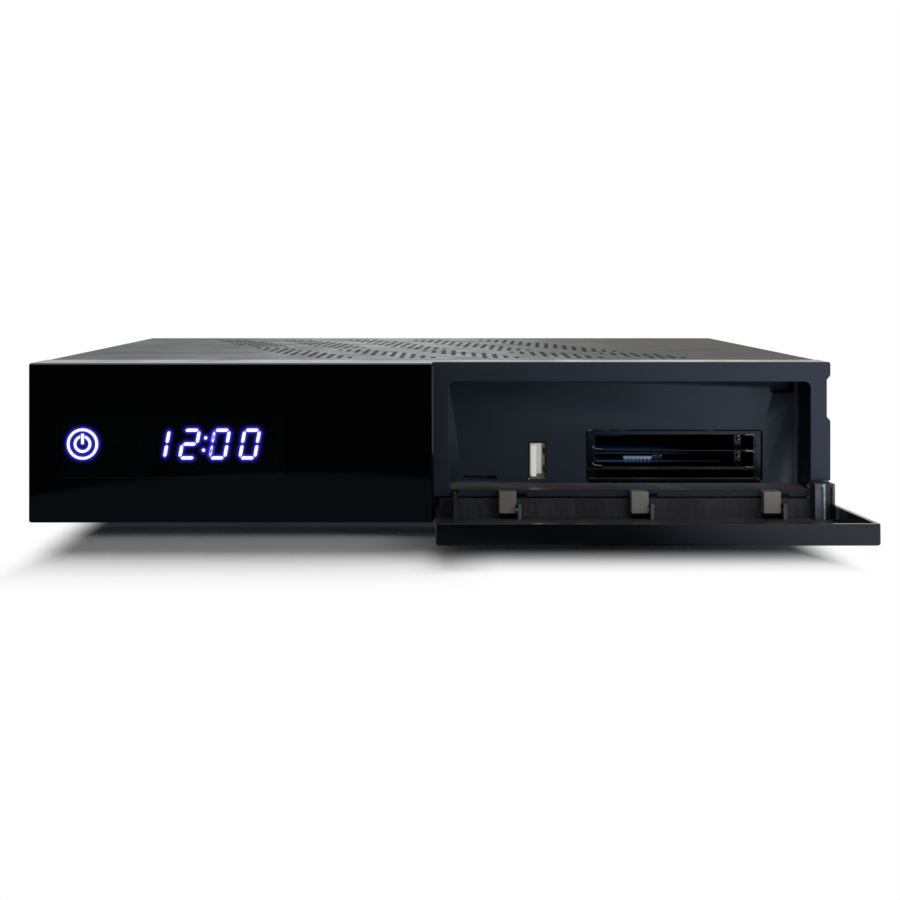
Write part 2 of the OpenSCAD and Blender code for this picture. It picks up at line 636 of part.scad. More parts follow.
// A coaxial socket from the tuner's wall out through the rear panel, its free thread wider than its root
module aerial_socket(x) color("#d2d5d8") difference() {
    union() {
        rod_y(x, [tuner_y + tuner_size[1], body_d + nut_t + 0.7], aerial_z, aerial_d - thread_h);
        rod_y(x, [body_d + nut_t + 0.6, aerial_end], aerial_z, aerial_d);
    }
    rod_y(x, [aerial_end - 8, aerial_end + cut], aerial_z, 1.4);
}

module aerial_nuts() color("#d2d5d8") for (x = aerial_x) difference() {
    translate([x, body_d, aerial_z]) rotate([-90, 30, 0]) cylinder(h = nut_t, d = nut_w, $fn = 6);
    rod_y(x, [body_d - cut, body_d + nut_t + cut], aerial_z, aerial_d - thread_h);
}

// ---- Rear sockets ----

module hdmi_socket(x) {
    w = hdmi_size[0];
    h = hdmi_size[1];
    z = board_top + 1;
    color("#c4c8cb") difference() {
        span([x - w / 2, x + w / 2], [body_d - 12, body_d + 0.6], [board_top, z + h]);
        span([x - w / 2 - cut, x + w / 2 + cut], [body_d - sheet_t - cut, body_d + cut + 1],
            [board_top - cut, z]);
        translate([0, body_d + 0.6 + cut, 0]) rotate([90, 0, 0]) linear_extrude(9 + cut) polygon([
            [x - 7.1, z + h - 0.4], [x + 7.1, z + h - 0.4], [x + 7.1, z + 2.2], [x + 5.4, z + 0.5],
            [x - 5.4, z + 0.5], [x - 7.1, z + 2.2]
        ]);
    }
    color("#c4c8cb") span([x - 5.6, x + 5.6], [body_d - 9, body_d - 1.2], [z + h / 2 - 0.3, z + h / 2 + 0.7]);
}

module network_socket() color("#1b1c1f") difference() {
    x = network_x;
    span([x - network_size[0] / 2, x + network_size[0] / 2], [body_d - 20, body_d + 0.6],
        [board_top, board_top + network_size[1]]);
    span([x - 5.9, x + 5.9], [body_d - 13, body_d + 0.6 + cut], [board_top + 4, board_top + 12]);
    span([x - 3, x + 3], [body_d - 13, body_d + 0.6 + cut], [board_top + 1.6, board_top + 4.5]);
}

module rear_usb_sockets() color("#c4c8cb") difference() {
    x = rear_usb_x;
    span([x - rear_usb_size[0] / 2, x + rear_usb_size[0] / 2], [body_d - 17, body_d + 0.6],
        [board_top, board_top + rear_usb_size[1]]);
    for (z = [board_top + 1.2, board_top + 9.2])
        span([x - 6.3, x + 6.3], [body_d - 14, body_d + 0.6 + cut], [z, z + 5.3]);
}

module rear_usb_tongues() color("#1f62c9") for (z = [board_top + 1.2, board_top + 9.2])
    span([rear_usb_x - 5.6, rear_usb_x + 5.6], [body_d - 14, body_d - 1.4], [z + 2.8, z + 4.6]);

module optical_output() color("#1b1c1f") difference() {
    x = optical_x;
    top = board_top + optical_size[1];
    span([x - optical_size[0] / 2, x + optical_size[0] / 2], [body_d - 14, body_d + 0.6], [board_top, top]);
    span([x - 3.8, x + 3.8], [body_d - 9.2, body_d + 0.6 + cut], [board_top + 1.4, top - 1.4]);
    rod_y(x, [body_d - 11.6, body_d - 8], board_top + optical_size[1] / 2, 2.4);
    rod_x([x - 4.5, x + 4.5], shutter_y, shutter_z, shutter_pin_d + 2 * running);
}

// A light flap hung on two stub pins behind the optical socket's mouth
module optical_shutter() color("#2a2c30") union() {
    rod_x([optical_x - 4.4, optical_x + 4.4], shutter_y, shutter_z, shutter_pin_d);
    span([optical_x - 3.5, optical_x + 3.5], [shutter_y - 0.4, shutter_y + 0.4],
        [board_top + 1.7, shutter_z]);
}

module audio_socket() color("#1b1c1f") difference() {
    union() {
        span([audio_x - audio_size[0] / 2, audio_x + audio_size[0] / 2],
            [body_d - 15, body_d - sheet_t - 0.1], [board_top, board_top + audio_size[1]]);
        rod_y(audio_x, [body_d - sheet_t - 1, body_d + 1.2], board_top + audio_size[1] / 2, 6.8);
    }
    rod_y(audio_x, [body_d - 13.8, body_d + 1.2 + cut], board_top + audio_size[1] / 2, 2 * audio_bore_r);
}

module dc_socket() color("#1b1c1f") {
    difference() {
        span([dc_x - dc_size[0] / 2, dc_x + dc_size[0] / 2], [body_d - 14, body_d + 0.6],
            [board_top, board_top + dc_size[1]]);
        rod_y(dc_x, [body_d - 9, body_d + 0.6 + cut], board_top + 6.2, 6.4);
    }
    rod_y(dc_x, [body_d - 9.1, body_d - 0.6], board_top + 6.2, 2.1);
}

module power_switch_housing() color("#15161a") difference() {
    union() {
        slab([switch_x - switch_rim[0] / 2, switch_x + switch_rim[0] / 2], [body_d, body_d + 1.5],
            [switch_z - switch_rim[1] / 2, switch_z + switch_rim[1] / 2], 1);
        span([switch_x - switch_size[0] / 2, switch_x + switch_size[0] / 2], [body_d - 16, body_d + 0.1],
            [switch_z - switch_size[1] / 2, switch_z + switch_size[1] / 2]);
    }
    span([switch_x - switch_size[0] / 2 + 0.6, switch_x + switch_size[0] / 2 - 0.6],
        [body_d - 7.5, body_d + 1.5 + cut], [switch_z - 5, switch_z + 5]);
    rod_z(switch_x, rocker_pivot_y, [switch_z - 5.7, switch_z + 5.7], 2.4 + 2 * running);
}

// A rocker tilted on its upright pin, one end flush and the other standing out
module power_rocker() color("#111214") translate([switch_x, rocker_pivot_y, 0]) rotate(rocker_tilt) union() {
    translate([0, 0, switch_z - 4.7]) linear_extrude(9.4)
        polygon([[-8, 3.3], [0, 2.1], [8, 3.3], [6.6, -2], [-6.6, -2]]);
    rod_z(0, 0, [switch_z - 5.6, switch_z + 5.6], 2.4);
}

// ---- Sockets behind the door ----

module front_usb_shell() color("#b8ad9c") difference() {
    x = [usb_x - usb_size[0] / 2, usb_x + usb_size[0] / 2];
    slab(x, [bay_y - 0.2, bay_y - 0.2 + usb_l], [usb_z, usb_z + usb_size[1]], 0.5);
    slab([x[0] + usb_wall, x[1] - usb_wall], [bay_y - 0.2 - cut, bay_y - 0.2 + usb_l + cut],
        [usb_z + usb_wall, usb_z + usb_size[1] - usb_wall], 0.3);
}

module front_usb_insulator() color("#efefec") {
    x0 = usb_x - usb_size[0] / 2;
    mid = usb_z + usb_size[1] / 2;
    span([x0 + 0.75, x0 + 2.6], [bay_y + 0.8, bay_y + usb_l], [mid - 5.5, mid + 5.5]);
    span([x0, x0 + usb_size[0]], [bay_y - 0.2 + usb_l, bay_y + usb_l + 3],
        [board_top, usb_z + usb_size[1]]);
    span([x0 + 0.3, x0 + usb_size[0] - 0.3], [board_y[0], bay_y + usb_l], [board_top, usb_z]);
}

module memory_card_socket() color("#aeb3b6") difference() {
    span([memory_x - 7.4, memory_x + 7.4], [board_y[0], board_y[0] + 15], [board_top, memory_z + 2.4]);
    span([memory_x - 5.7, memory_x + 5.7], [board_y[0] - cut, board_y[0] + 13.6],
        [memory_z + 0.2, memory_z + 1.3]);
}

// Slots for two card modules one above the other, each with a rounded lead-in on its right side
module module_cage() color("#0d0e11") difference() {
    span(cage_x, [cage_y, cage_y + cage_l], cage_z);
    for (z = slot_z) slab([cage_mid - module_slot_w / 2, cage_mid + module_slot_w / 2],
        [cage_y - cut, cage_y + cage_l + cut], [z, z + module_slot_h], 0.8);
}

module cage_shield() color("#9b9fa3") {
    y = [cage_y + 8, cage_y + cage_l];
    span([cage_x[0] - shield_t, cage_x[1] + shield_t], y, [cage_z[1], cage_z[1] + shield_t]);
    for (x = [cage_x[0] - shield_t, cage_x[1]]) span([x, x + shield_t], y, [board_top, cage_z[1] + shield_t]);
}

module module_connectors() color("#17181b") for (z = slot_z) {
    span([cage_mid - module_slot_w / 2 - 1.5, cage_mid + module_slot_w / 2 + 1.5],
        [cage_y + cage_l, cage_y + cage_l + 7], [z - slot_shelf / 3, z + module_slot_h + slot_shelf / 3]);
}

module smart_card_reader() color("#101114") difference() {
    union() {
        span(cage_x, [cage_y, cage_y + cage_l - 6], reader_z);
        for (x = [cage_x[0] + 2, cage_x[1] - 4], y = [board_y[0] + 2, cage_y + cage_l - 10])
            span([x, x + 2], [y, y + 2], [board_top, reader_z[0] + 0.1]);
    }
    span([cage_mid - 27.4, cage_mid + 27.4], [cage_y - cut, cage_y + cage_l - 10],
        [reader_z[0] + 1, reader_z[0] + 1 + reader_slot_h]);
}

// ---- Hinge and door ----

// A hook that leaves the bezel above the door's lower wall and holds the pin in front of it
module hinge_knuckle(x) color("#787370") difference() {
    union() {
        span([x - knuckle_w / 2, x + knuckle_w / 2], [pivot_y - knuckle_r, pivot_y + knuckle_r - 0.2],
            [pivot_z, knuckle_top]);
        span([x - knuckle_w / 2, x + knuckle_w / 2], [pivot_y - knuckle_r, face_y],
            [strip_z, knuckle_top]);
        rod_x([x - knuckle_w / 2, x + knuckle_w / 2], pivot_y, pivot_z, 2 * knuckle_r);
    }
    rod_x([x - knuckle_w / 2 - cut, x + knuckle_w / 2 + cut], pivot_y, pivot_z, pin_d + 2 * running);
}

module door_catch_magnet() color("#7d8185")
    span([catch_x[0] + 1, catch_x[1] - 1], [face_y + bezel_wall, face_y + bezel_wall + 3],
        [bay_z[1] + bezel_wall, top_z - bezel_wall]);

// Turns what is drawn with the door closed to the open stop
module opened() translate([0, pivot_y, pivot_z]) rotate([door_open, 0, 0])
    translate([0, -pivot_y, -pivot_z]) children();

module door_shell() color("#0b0c0e") opened() difference() {
    union() {
        difference() {
            eased_plate(door_x, [0, door_t], [case_z, top_z], 0.5);
            span([door_x[0] + door_skin, door_x[1] - door_skin], [door_skin, door_t + cut],
                [case_z - cut, top_z - door_skin]);
        }
        for (x = [32, 42.6]) span([door_x[0] + x, door_x[0] + x + 5], [door_t - cut, door_t + door_gap / 2],
            [top_z - door_skin + 0.2, top_z - 0.5]);
    }
}

// The hinge wall along the door's lower edge, with its ears and the stop arm at the right end
module door_hinge_rail() color("#231f1e") opened() {
    inner = [door_x[0] + door_skin, door_x[1] - door_skin];
    difference() {
        union() {
            span(inner, [door_skin, rail_depth], [case_z, case_z + rail_wall]);
            for (x = knuckle_x) ear(x + knuckle_w / 2 + ear_gap, ear_h, door_t);
            ear(door_x[0] + 6.1, left_ear_h, left_ear_deep);
            stop_arm();
        }
        for (x = knuckle_x) rod_x([x, x + knuckle_w], pivot_y, pivot_z, pin_d);
    }
}

// An upright rib from the door's skin, its outer corner cut to the arc that it swings on
module ear(x, height, deep) intersection() {
    span([x, x + ear_t], [door_skin, deep], [case_z, case_z + height]);
    rod_x([x - cut, x + ear_t + cut], pivot_y, pivot_z, 2 * norm([deep - pivot_back, height - pivot_up]));
}

module stop_arm() intersection() {
    union() {
        for (x = [arm_x[0], (arm_x[0] + arm_x[1] - ear_t) / 2, arm_x[1] - ear_t])
            span([x, x + ear_t], [door_skin, arm_deep], [case_z, case_z + arm_h]);
        span(arm_x, [arm_deep - 1.2, arm_deep], [case_z, case_z + arm_h]);
        span(arm_x, [door_skin, arm_deep], [case_z + arm_web[0], case_z + arm_web[1]]);
    }
    union() {
        span([arm_x[0] - cut, door_x[1] - door_skin], [door_skin, arm_deep + cut], [case_z, case_z + arm_h]);
        span([arm_x[0] - cut, arm_x[1]], [door_t, arm_deep + cut], [case_z, case_z + arm_h]);
    }
    rod_x([arm_x[0] - cut, half_w], pivot_y, pivot_z, 2 * arm_sweep);
}

module door_hinge_pins() color("#c3c6c8") opened() for (x = knuckle_x)
    rod_x([x - knuckle_w / 2 + 0.3, x + knuckle_w / 2 + ear_gap + ear_t], pivot_y, pivot_z, pin_d);

module door_catch_plate() color("#8a8e91") opened()
    span(catch_x, [door_skin, door_skin + 0.8], [bay_z[1] + 1, top_z - door_skin - 0.4]);

// ---- The assembly ----

placed() bottom_chassis();
placed() rear_panel();
placed() top_cover();
placed() front_bezel();
placed() display_panel();
placed() display_lens();
placed() front_board();
placed() clock_display();
placed() clock_segments();
placed() touch_key_light();
placed() infrared_receiver();
placed() ribbon_cable();
placed() main_board();
placed() board_standoffs();
placed() board_screws();
placed() front_board_screws();
placed() bezel_screws();
placed() cover_screws();
placed() processor();
placed() heat_sink();
placed() memory_chips();
placed() capacitors();
placed() clock_battery();
placed() tuner(tuner_x[0]);  // tuner_main
placed() tuner(tuner_x[1]);  // tuner_second
placed() aerial_socket(aerial_x[0]);  // aerial_socket_1
placed() aerial_socket(aerial_x[1]);  // aerial_socket_2
placed() aerial_socket(aerial_x[2]);  // aerial_socket_3
placed() aerial_socket(aerial_x[3]);  // aerial_socket_4
placed() aerial_nuts();
placed() hdmi_socket(hdmi_x[0]);  // hdmi_output
placed() hdmi_socket(hdmi_x[1]);  // hdmi_input
placed() network_socket();
placed() rear_usb_sockets();
placed() rear_usb_tongues();
placed() optical_output();
placed() audio_socket();
placed() dc_socket();
placed() power_switch_housing();
placed() front_usb_shell();
placed() front_usb_insulator();
placed() memory_card_socket();
placed() module_cage();
placed() cage_shield();
placed() module_connectors();
placed() smart_card_reader();
placed() hinge_knuckle(knuckle_x[0]);  // hinge_knuckle_left
placed() hinge_knuckle(knuckle_x[1]);  // hinge_knuckle_middle
placed() hinge_knuckle(knuckle_x[2]);  // hinge_knuckle_right
placed() foot(-half_w + foot_inset, foot_y[0]);  // foot_front_left
placed() foot(half_w - foot_inset, foot_y[0]);  // foot_front_right
placed() foot(-half_w + foot_inset, foot_y[1]);  // foot_rear_left
placed() foot(half_w - foot_inset, foot_y[1]);  // foot_rear_right
placed() door_catch_magnet();
placed() door_shell();
placed() door_hinge_rail();
placed() door_hinge_pins();
placed() door_catch_plate();
placed() power_rocker();
placed() optical_shutter();
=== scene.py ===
# %% [markdown]
# # A satellite television receiver, dressed in Blender
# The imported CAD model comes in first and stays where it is. Everything below gives it finishes, softens the
# edges that a moulding or a folded sheet would never leave sharp, and adds the small pieces that the solids
# leave out. All places are given in the receiver's own millimetres and turned into metres by one helper.

# %% Load the frame
import math

import bmesh
import bpy
from mathutils import Matrix, Vector
from mathutils.bvhtree import BVHTree


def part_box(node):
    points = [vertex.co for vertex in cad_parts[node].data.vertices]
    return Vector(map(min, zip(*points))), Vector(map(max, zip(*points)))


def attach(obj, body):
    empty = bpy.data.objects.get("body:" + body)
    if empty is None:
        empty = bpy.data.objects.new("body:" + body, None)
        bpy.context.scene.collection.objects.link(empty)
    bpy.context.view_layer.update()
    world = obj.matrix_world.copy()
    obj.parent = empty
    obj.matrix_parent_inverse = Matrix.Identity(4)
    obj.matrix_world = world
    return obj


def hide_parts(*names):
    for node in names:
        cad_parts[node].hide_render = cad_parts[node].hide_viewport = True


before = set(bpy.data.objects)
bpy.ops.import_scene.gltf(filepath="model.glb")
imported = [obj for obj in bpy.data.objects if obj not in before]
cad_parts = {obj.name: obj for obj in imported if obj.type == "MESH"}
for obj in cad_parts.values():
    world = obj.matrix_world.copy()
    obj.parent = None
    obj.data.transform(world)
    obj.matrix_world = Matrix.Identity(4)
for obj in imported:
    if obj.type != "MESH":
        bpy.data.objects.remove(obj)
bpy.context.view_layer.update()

MM = 0.001
FACE_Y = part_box("display_panel")[0].y
scene = bpy.context.scene


def place(x, y, z):
    """A point in metres from mm right of the middle, behind the clock panel's face and above the table."""
    return Vector((x * MM, FACE_Y + y * MM, z * MM))


def span_mm(name):
    """A CAD node's box in the receiver's own millimetres, as (low, high)."""
    low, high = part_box(name)
    shift = Vector((0, FACE_Y, 0))
    return (low - shift) / MM, (high - shift) / MM


# %% [markdown]
# ## Camera
# The photograph is a level product shot: upright edges stay upright, and the view slides sideways and down
# instead of tilting. Blender does the same with a level camera and a lens shift. Tilting the camera would
# have made the sides converge.

# %% Camera
camera_data = bpy.data.cameras.new("product_camera")
camera_data.lens = 55.31
camera_data.sensor_width = 36
camera_data.shift_x = 0.0256
camera_data.shift_y = -0.188
camera_data.clip_start = 0.01
camera = bpy.data.objects.new("product_camera", camera_data)
camera.location = place(-1.85, -462, 85.9)
camera.rotation_euler = (math.pi / 2, 0, 0)
scene.collection.objects.link(camera)
scene.camera = camera
scene.view_settings.view_transform = "Standard"

# %% [markdown]
# ## Studio
# A cut-out product shot has a white ground, a soft shadow under the object and a dark room in its glossy
# faces. One world can't be all three, so the world and the floor answer each kind of ray on its own: white
# to the camera, an even grey to matt surfaces, and to glossy ones a mostly dark room with a bright far wall,
# a dim glow in front on the right and a soft box overhead, which only rounded edges can mirror: that draws
# the thin bright line on each rim.

# %% Small helpers for node trees


def add_node(tree, kind, settings=(), values=()):
    """Adds a shader node, sets its properties and the values of its input sockets, and returns it."""
    made = tree.nodes.new("ShaderNode" + kind)
    for key, value in dict(settings).items():
        setattr(made, key, value)
    for key, value in dict(values).items():
        made.inputs[key].default_value = value
    return made


def mix_colours(tree, factor, first, second, blend="MIX"):
    """Mixes two colours, each a socket or a plain colour, by a socket or a number, and returns the result."""
    mix = add_node(tree, "Mix", {"data_type": "RGBA", "blend_type": blend})
    for index, value in ((0, factor), (6, first), (7, second)):
        if isinstance(value, bpy.types.NodeSocket):
            tree.links.new(value, mix.inputs[index])
        else:
            mix.inputs[index].default_value = value if index == 0 else (*value[:3], 1)
    return mix.outputs[2]


def remap(tree, socket, low, high, to_low=0.0, to_high=1.0, smooth=False):
    """Maps a value from one range to another, clamped, and returns the result."""
    kind = "SMOOTHSTEP" if smooth else "LINEAR"
    node = add_node(tree, "MapRange", {"interpolation_type": kind},
                    {"From Min": low, "From Max": high, "To Min": to_low, "To Max": to_high})
    tree.links.new(socket, node.inputs["Value"])
    return node.outputs["Result"]


def calculate(tree, operation, first, second=0.0):
    """One step of arithmetic on sockets or numbers."""
    node = add_node(tree, "Math", {"operation": operation})
    for index, value in enumerate((first, second)):
        if isinstance(value, bpy.types.NodeSocket):
            tree.links.new(value, node.inputs[index])
        else:
            node.inputs[index].default_value = value
    return node.outputs[0]


# %% World
GROUND_FOR_MATT = 0.19
FAR_WALL = 0.68
DARK_ROOM = 0.012
OVERHEAD = 1.6
FRONT_RIGHT = 0.5

world = bpy.data.worlds.new("studio")
world.use_nodes = True
scene.world = world
tree = world.node_tree
background = tree.nodes["Background"]
rays = add_node(tree, "LightPath")
direction = add_node(tree, "TexCoord")
axes = add_node(tree, "SeparateXYZ")
tree.links.new(direction.outputs["Generated"], axes.inputs[0])
behind = remap(tree, axes.outputs["Y"], 0.1, 0.9, smooth=True)
low_down = remap(tree, axes.outputs["Z"], 0.05, 0.6, 1.0, 0.12, smooth=True)
brightest_in_the_middle = calculate(tree, "MULTIPLY", remap(tree, axes.outputs["X"], -0.3, -0.02, 0.86, 1.15),
                                    remap(tree, axes.outputs["X"], 0.0, 0.26, 1.0, 0.95))
wall = calculate(tree, "MULTIPLY", calculate(tree, "MULTIPLY", behind, low_down), brightest_in_the_middle)
overhead = calculate(tree, "MULTIPLY_ADD", remap(tree, axes.outputs["Z"], 0.55, 0.85, smooth=True), OVERHEAD)
overhead.node.inputs[2].default_value = DARK_ROOM
in_front_right = calculate(tree, "MULTIPLY", remap(tree, axes.outputs["X"], 0.05, 0.6, smooth=True),
                           remap(tree, axes.outputs["Y"], -0.3, -0.8, smooth=True))
glows = calculate(tree, "MULTIPLY_ADD", in_front_right, FRONT_RIGHT)
tree.links.new(overhead, glows.node.inputs[2])
room = calculate(tree, "MULTIPLY_ADD", wall, FAR_WALL)
tree.links.new(glows, room.node.inputs[2])
warm_right = mix_colours(tree, remap(tree, axes.outputs["X"], 0.02, 0.24), (0.93, 0.97, 1.0),
                         (1.0, 0.97, 0.93))
glossy_room = mix_colours(tree, 1.0, room, warm_right, "MULTIPLY")
for_matt = mix_colours(tree, rays.outputs["Is Glossy Ray"], (GROUND_FOR_MATT,) * 3, glossy_room)
seen = mix_colours(tree, rays.outputs["Is Camera Ray"], for_matt, (1, 1, 1))
tree.links.new(seen, background.inputs["Color"])

# %% [markdown]
# The floor is a large plane. Matt rays and the camera see pale paper, which takes the soft shadow. Glossy
# rays see a dim disc in front of the clock panel, the lit part of the table that a real panel mirrors as
# a pale field with a curved upper edge. Away from the receiver the paper burns out to plain white, and it
# throws little light back, since a front lit from below would look flat.

# %% Floor
floor_mesh = bmesh.new()
bmesh.ops.create_grid(floor_mesh, x_segments=1, y_segments=1, size=6)
floor_data = bpy.data.meshes.new("floor")
floor_mesh.to_mesh(floor_data)
floor_mesh.free()
floor = bpy.data.objects.new("floor", floor_data)
scene.collection.objects.link(floor)

paper = bpy.data.materials.new("pale_floor")
paper.use_nodes = True
tree = paper.node_tree
tree.nodes.remove(tree.nodes["Principled BSDF"])
output = tree.nodes["Material Output"]
rays = add_node(tree, "LightPath")
where = add_node(tree, "TexCoord")
axes = add_node(tree, "SeparateXYZ")
tree.links.new(where.outputs["Object"], axes.inputs[0])


def shader_mix(factor, first, second):
    """Mixes two shaders of the floor by a socket."""
    mix = add_node(tree, "MixShader")
    for index, socket in enumerate((factor, first, second)):
        tree.links.new(socket, mix.inputs[index])
    return mix.outputs[0]


paper_seen = add_node(tree, "BsdfDiffuse", values={"Color": (0.9, 0.9, 0.9, 1)})
paper_bounce = add_node(tree, "BsdfDiffuse", values={"Color": (0.35, 0.35, 0.36, 1)})
burnt_out = add_node(tree, "Emission", values={"Color": (1, 1, 1, 1), "Strength": 1.0})
aside = calculate(tree, "ABSOLUTE", axes.outputs["X"])
in_front = mix_colours(tree, remap(tree, axes.outputs["X"], 0.0, 0.02),
                       remap(tree, axes.outputs["Y"], FACE_Y - 0.022, FACE_Y - 0.09, smooth=True),
                       remap(tree, axes.outputs["Y"], FACE_Y - 0.018, FACE_Y - 0.062, smooth=True))
fade = calculate(tree, "MAXIMUM", remap(tree, aside, 0.114, 0.131, smooth=True), in_front)
fade = calculate(tree, "MAXIMUM", remap(tree, axes.outputs["Y"], 0.3, 0.7, smooth=True), fade)
fade = calculate(tree, "MULTIPLY", fade, rays.outputs["Is Camera Ray"])
mirrored = add_node(tree, "Emission")
centred = add_node(tree, "VectorMath", {"operation": "DISTANCE"},
                   {1: place(-60, -50, 0)})
tree.links.new(where.outputs["Object"], centred.inputs[0])
disc = remap(tree, centred.outputs["Value"], 0.104, 0.108, 0.085, 0.016, smooth=True)
right_end = remap(tree, axes.outputs["X"], 0.065, 0.16, 0.0, 0.9, smooth=True)
pool = mix_colours(tree, 1.0, calculate(tree, "ADD", disc, right_end), (0.78, 0.92, 1.15), "MULTIPLY")
tree.links.new(pool, mirrored.inputs["Color"])
matt = shader_mix(rays.outputs["Is Diffuse Ray"], paper_seen.outputs[0], paper_bounce.outputs[0])
matt = shader_mix(fade, matt, burnt_out.outputs[0])
tree.links.new(shader_mix(rays.outputs["Is Glossy Ray"], matt, mirrored.outputs[0]), output.inputs["Surface"])
floor_data.materials.append(paper)

# %% [markdown]
# Two soft lights do the rest: a large one above and behind, which lights the cover and throws the soft shadow
# forwards, and a small one in front of the right end, whose fall-off makes the bay darker towards the left.

# %% Lights


def soft_light(name, where_mm, aim_mm, width, height, watts, glossy=True):
    """A rectangular soft box that points at a place on the receiver."""
    data = bpy.data.lights.new(name, "AREA")
    data.shape = "RECTANGLE"
    data.size, data.size_y, data.energy = width, height, watts
    lamp = bpy.data.objects.new(name, data)
    lamp.location = place(*where_mm)
    lamp.rotation_euler = (place(*aim_mm) - lamp.location).to_track_quat("-Z", "Y").to_euler()
    lamp.visible_camera = False
    lamp.visible_glossy = glossy
    scene.collection.objects.link(lamp)


soft_light("top_box", (-40, 560, 700), (0, 60, 0), 0.9, 0.6, 11.0, glossy=False)
soft_light("right_box", (165, -120, 72), (100, 10, 30), 0.16, 0.16, 0.15, glossy=False)

# %% [markdown]
# ## Effects that many finishes share
# Fine moulding grain, faint blotches and settled dust turn up on nearly every surface, so each is a node
# group, built once. A group gives out masks and values only; the shader stays in each material, because
# the export can't read one inside a group.

# %% Node groups


def new_group(name, inputs, outputs):
    """An empty shader group with float inputs {name: default} and named float outputs."""
    group = bpy.data.node_groups.new(name, "ShaderNodeTree")
    for title, default in inputs.items():
        socket = group.interface.new_socket(title, in_out="INPUT", socket_type="NodeSocketFloat")
        socket.default_value = default
    for title in outputs:
        group.interface.new_socket(title, in_out="OUTPUT", socket_type="NodeSocketFloat")
    return group, add_ends(group)


def add_ends(group):
    """The group's input and output nodes."""
    return group.nodes.new("NodeGroupInput"), group.nodes.new("NodeGroupOutput")


def noise(tree, vector, scale, detail=2.0, rough=0.5):
    """A noise value at a scale given as a number or a socket, in cycles per metre."""
    made = add_node(tree, "TexNoise", values={"Detail": detail, "Roughness": rough})
    tree.links.new(vector, made.inputs["Vector"])
    if isinstance(scale, bpy.types.NodeSocket):
        tree.links.new(scale, made.inputs["Scale"])
    else:
        made.inputs["Scale"].default_value = scale
    return made.outputs["Fac"]


GRAIN, (ins, outs) = new_group("moulding_grain", {"Scale": 2500.0, "Streak": 1.0}, ("Height", "Mask"))
coords = add_node(GRAIN, "TexCoord")
stretch = add_node(GRAIN, "CombineXYZ", values={0: 1.0, 1: 1.0})
GRAIN.links.new(ins.outputs["Streak"], stretch.inputs[0])
stretched = add_node(GRAIN, "VectorMath", {"operation": "MULTIPLY"})
stretch.inputs[2].default_value = 1.0
GRAIN.links.new(coords.outputs["Object"], stretched.inputs[0])
GRAIN.links.new(stretch.outputs[0], stretched.inputs[1])
fine = noise(GRAIN, stretched.outputs[0], ins.outputs["Scale"], 3.0, 0.6)
GRAIN.links.new(fine, outs.inputs["Height"])
GRAIN.links.new(remap(GRAIN, fine, 0.35, 0.65), outs.inputs["Mask"])

BLOTCH, (ins, outs) = new_group("faint_blotches", {"Scale": 60.0}, ("Mask",))
coords = add_node(BLOTCH, "TexCoord")
broad = noise(BLOTCH, coords.outputs["Object"], ins.outputs["Scale"], 2.0)
BLOTCH.links.new(remap(BLOTCH, broad, 0.3, 0.7, smooth=True), outs.inputs["Mask"])

DUST, (ins, outs) = new_group("settled_dust", {"Amount": 0.3}, ("Mask",))
coords = add_node(DUST, "TexCoord")
specks = add_node(DUST, "TexVoronoi", values={"Scale": 700.0, "Randomness": 1.0})
DUST.links.new(coords.outputs["Object"], specks.inputs["Vector"])
speck = remap(DUST, specks.outputs["Distance"], 0.05, 0.16, 1.0, 0.0, smooth=True)
patches = remap(DUST, noise(DUST, coords.outputs["Object"], 55.0), 0.48, 0.66, smooth=True)
facing = add_node(DUST, "NewGeometry")
upright = add_node(DUST, "SeparateXYZ")
DUST.links.new(facing.outputs["Normal"], upright.inputs[0])
upward = remap(DUST, upright.outputs["Z"], 0.3, 0.9, smooth=True)
film = calculate(DUST, "MULTIPLY_ADD", patches, 0.22)
DUST.links.new(calculate(DUST, "MULTIPLY", speck, patches), film.node.inputs[2])
settled = calculate(DUST, "MULTIPLY", film, upward)
DUST.links.new(calculate(DUST, "MULTIPLY", settled, ins.outputs["Amount"]), outs.inputs["Mask"])
print("groups:", [g.name for g in bpy.data.node_groups])


def use_group(tree, group, values=()):
    """Places a node group in a tree with its own values."""
    made = add_node(tree, "Group", {"node_tree": group})
    for key, value in dict(values).items():
        made.inputs[key].default_value = value
    return made


# %% [markdown]
# ## Finishes
# One function writes most materials, since a moulded plastic, a painted sheet and a plated shell differ in
# numbers more than in kind: the base colour drifts a little, the gloss drifts with it, dust lightens what
# faces up, and a fine grain goes through Bump. Constants are set on the shader's own sockets.

# %% The common finish


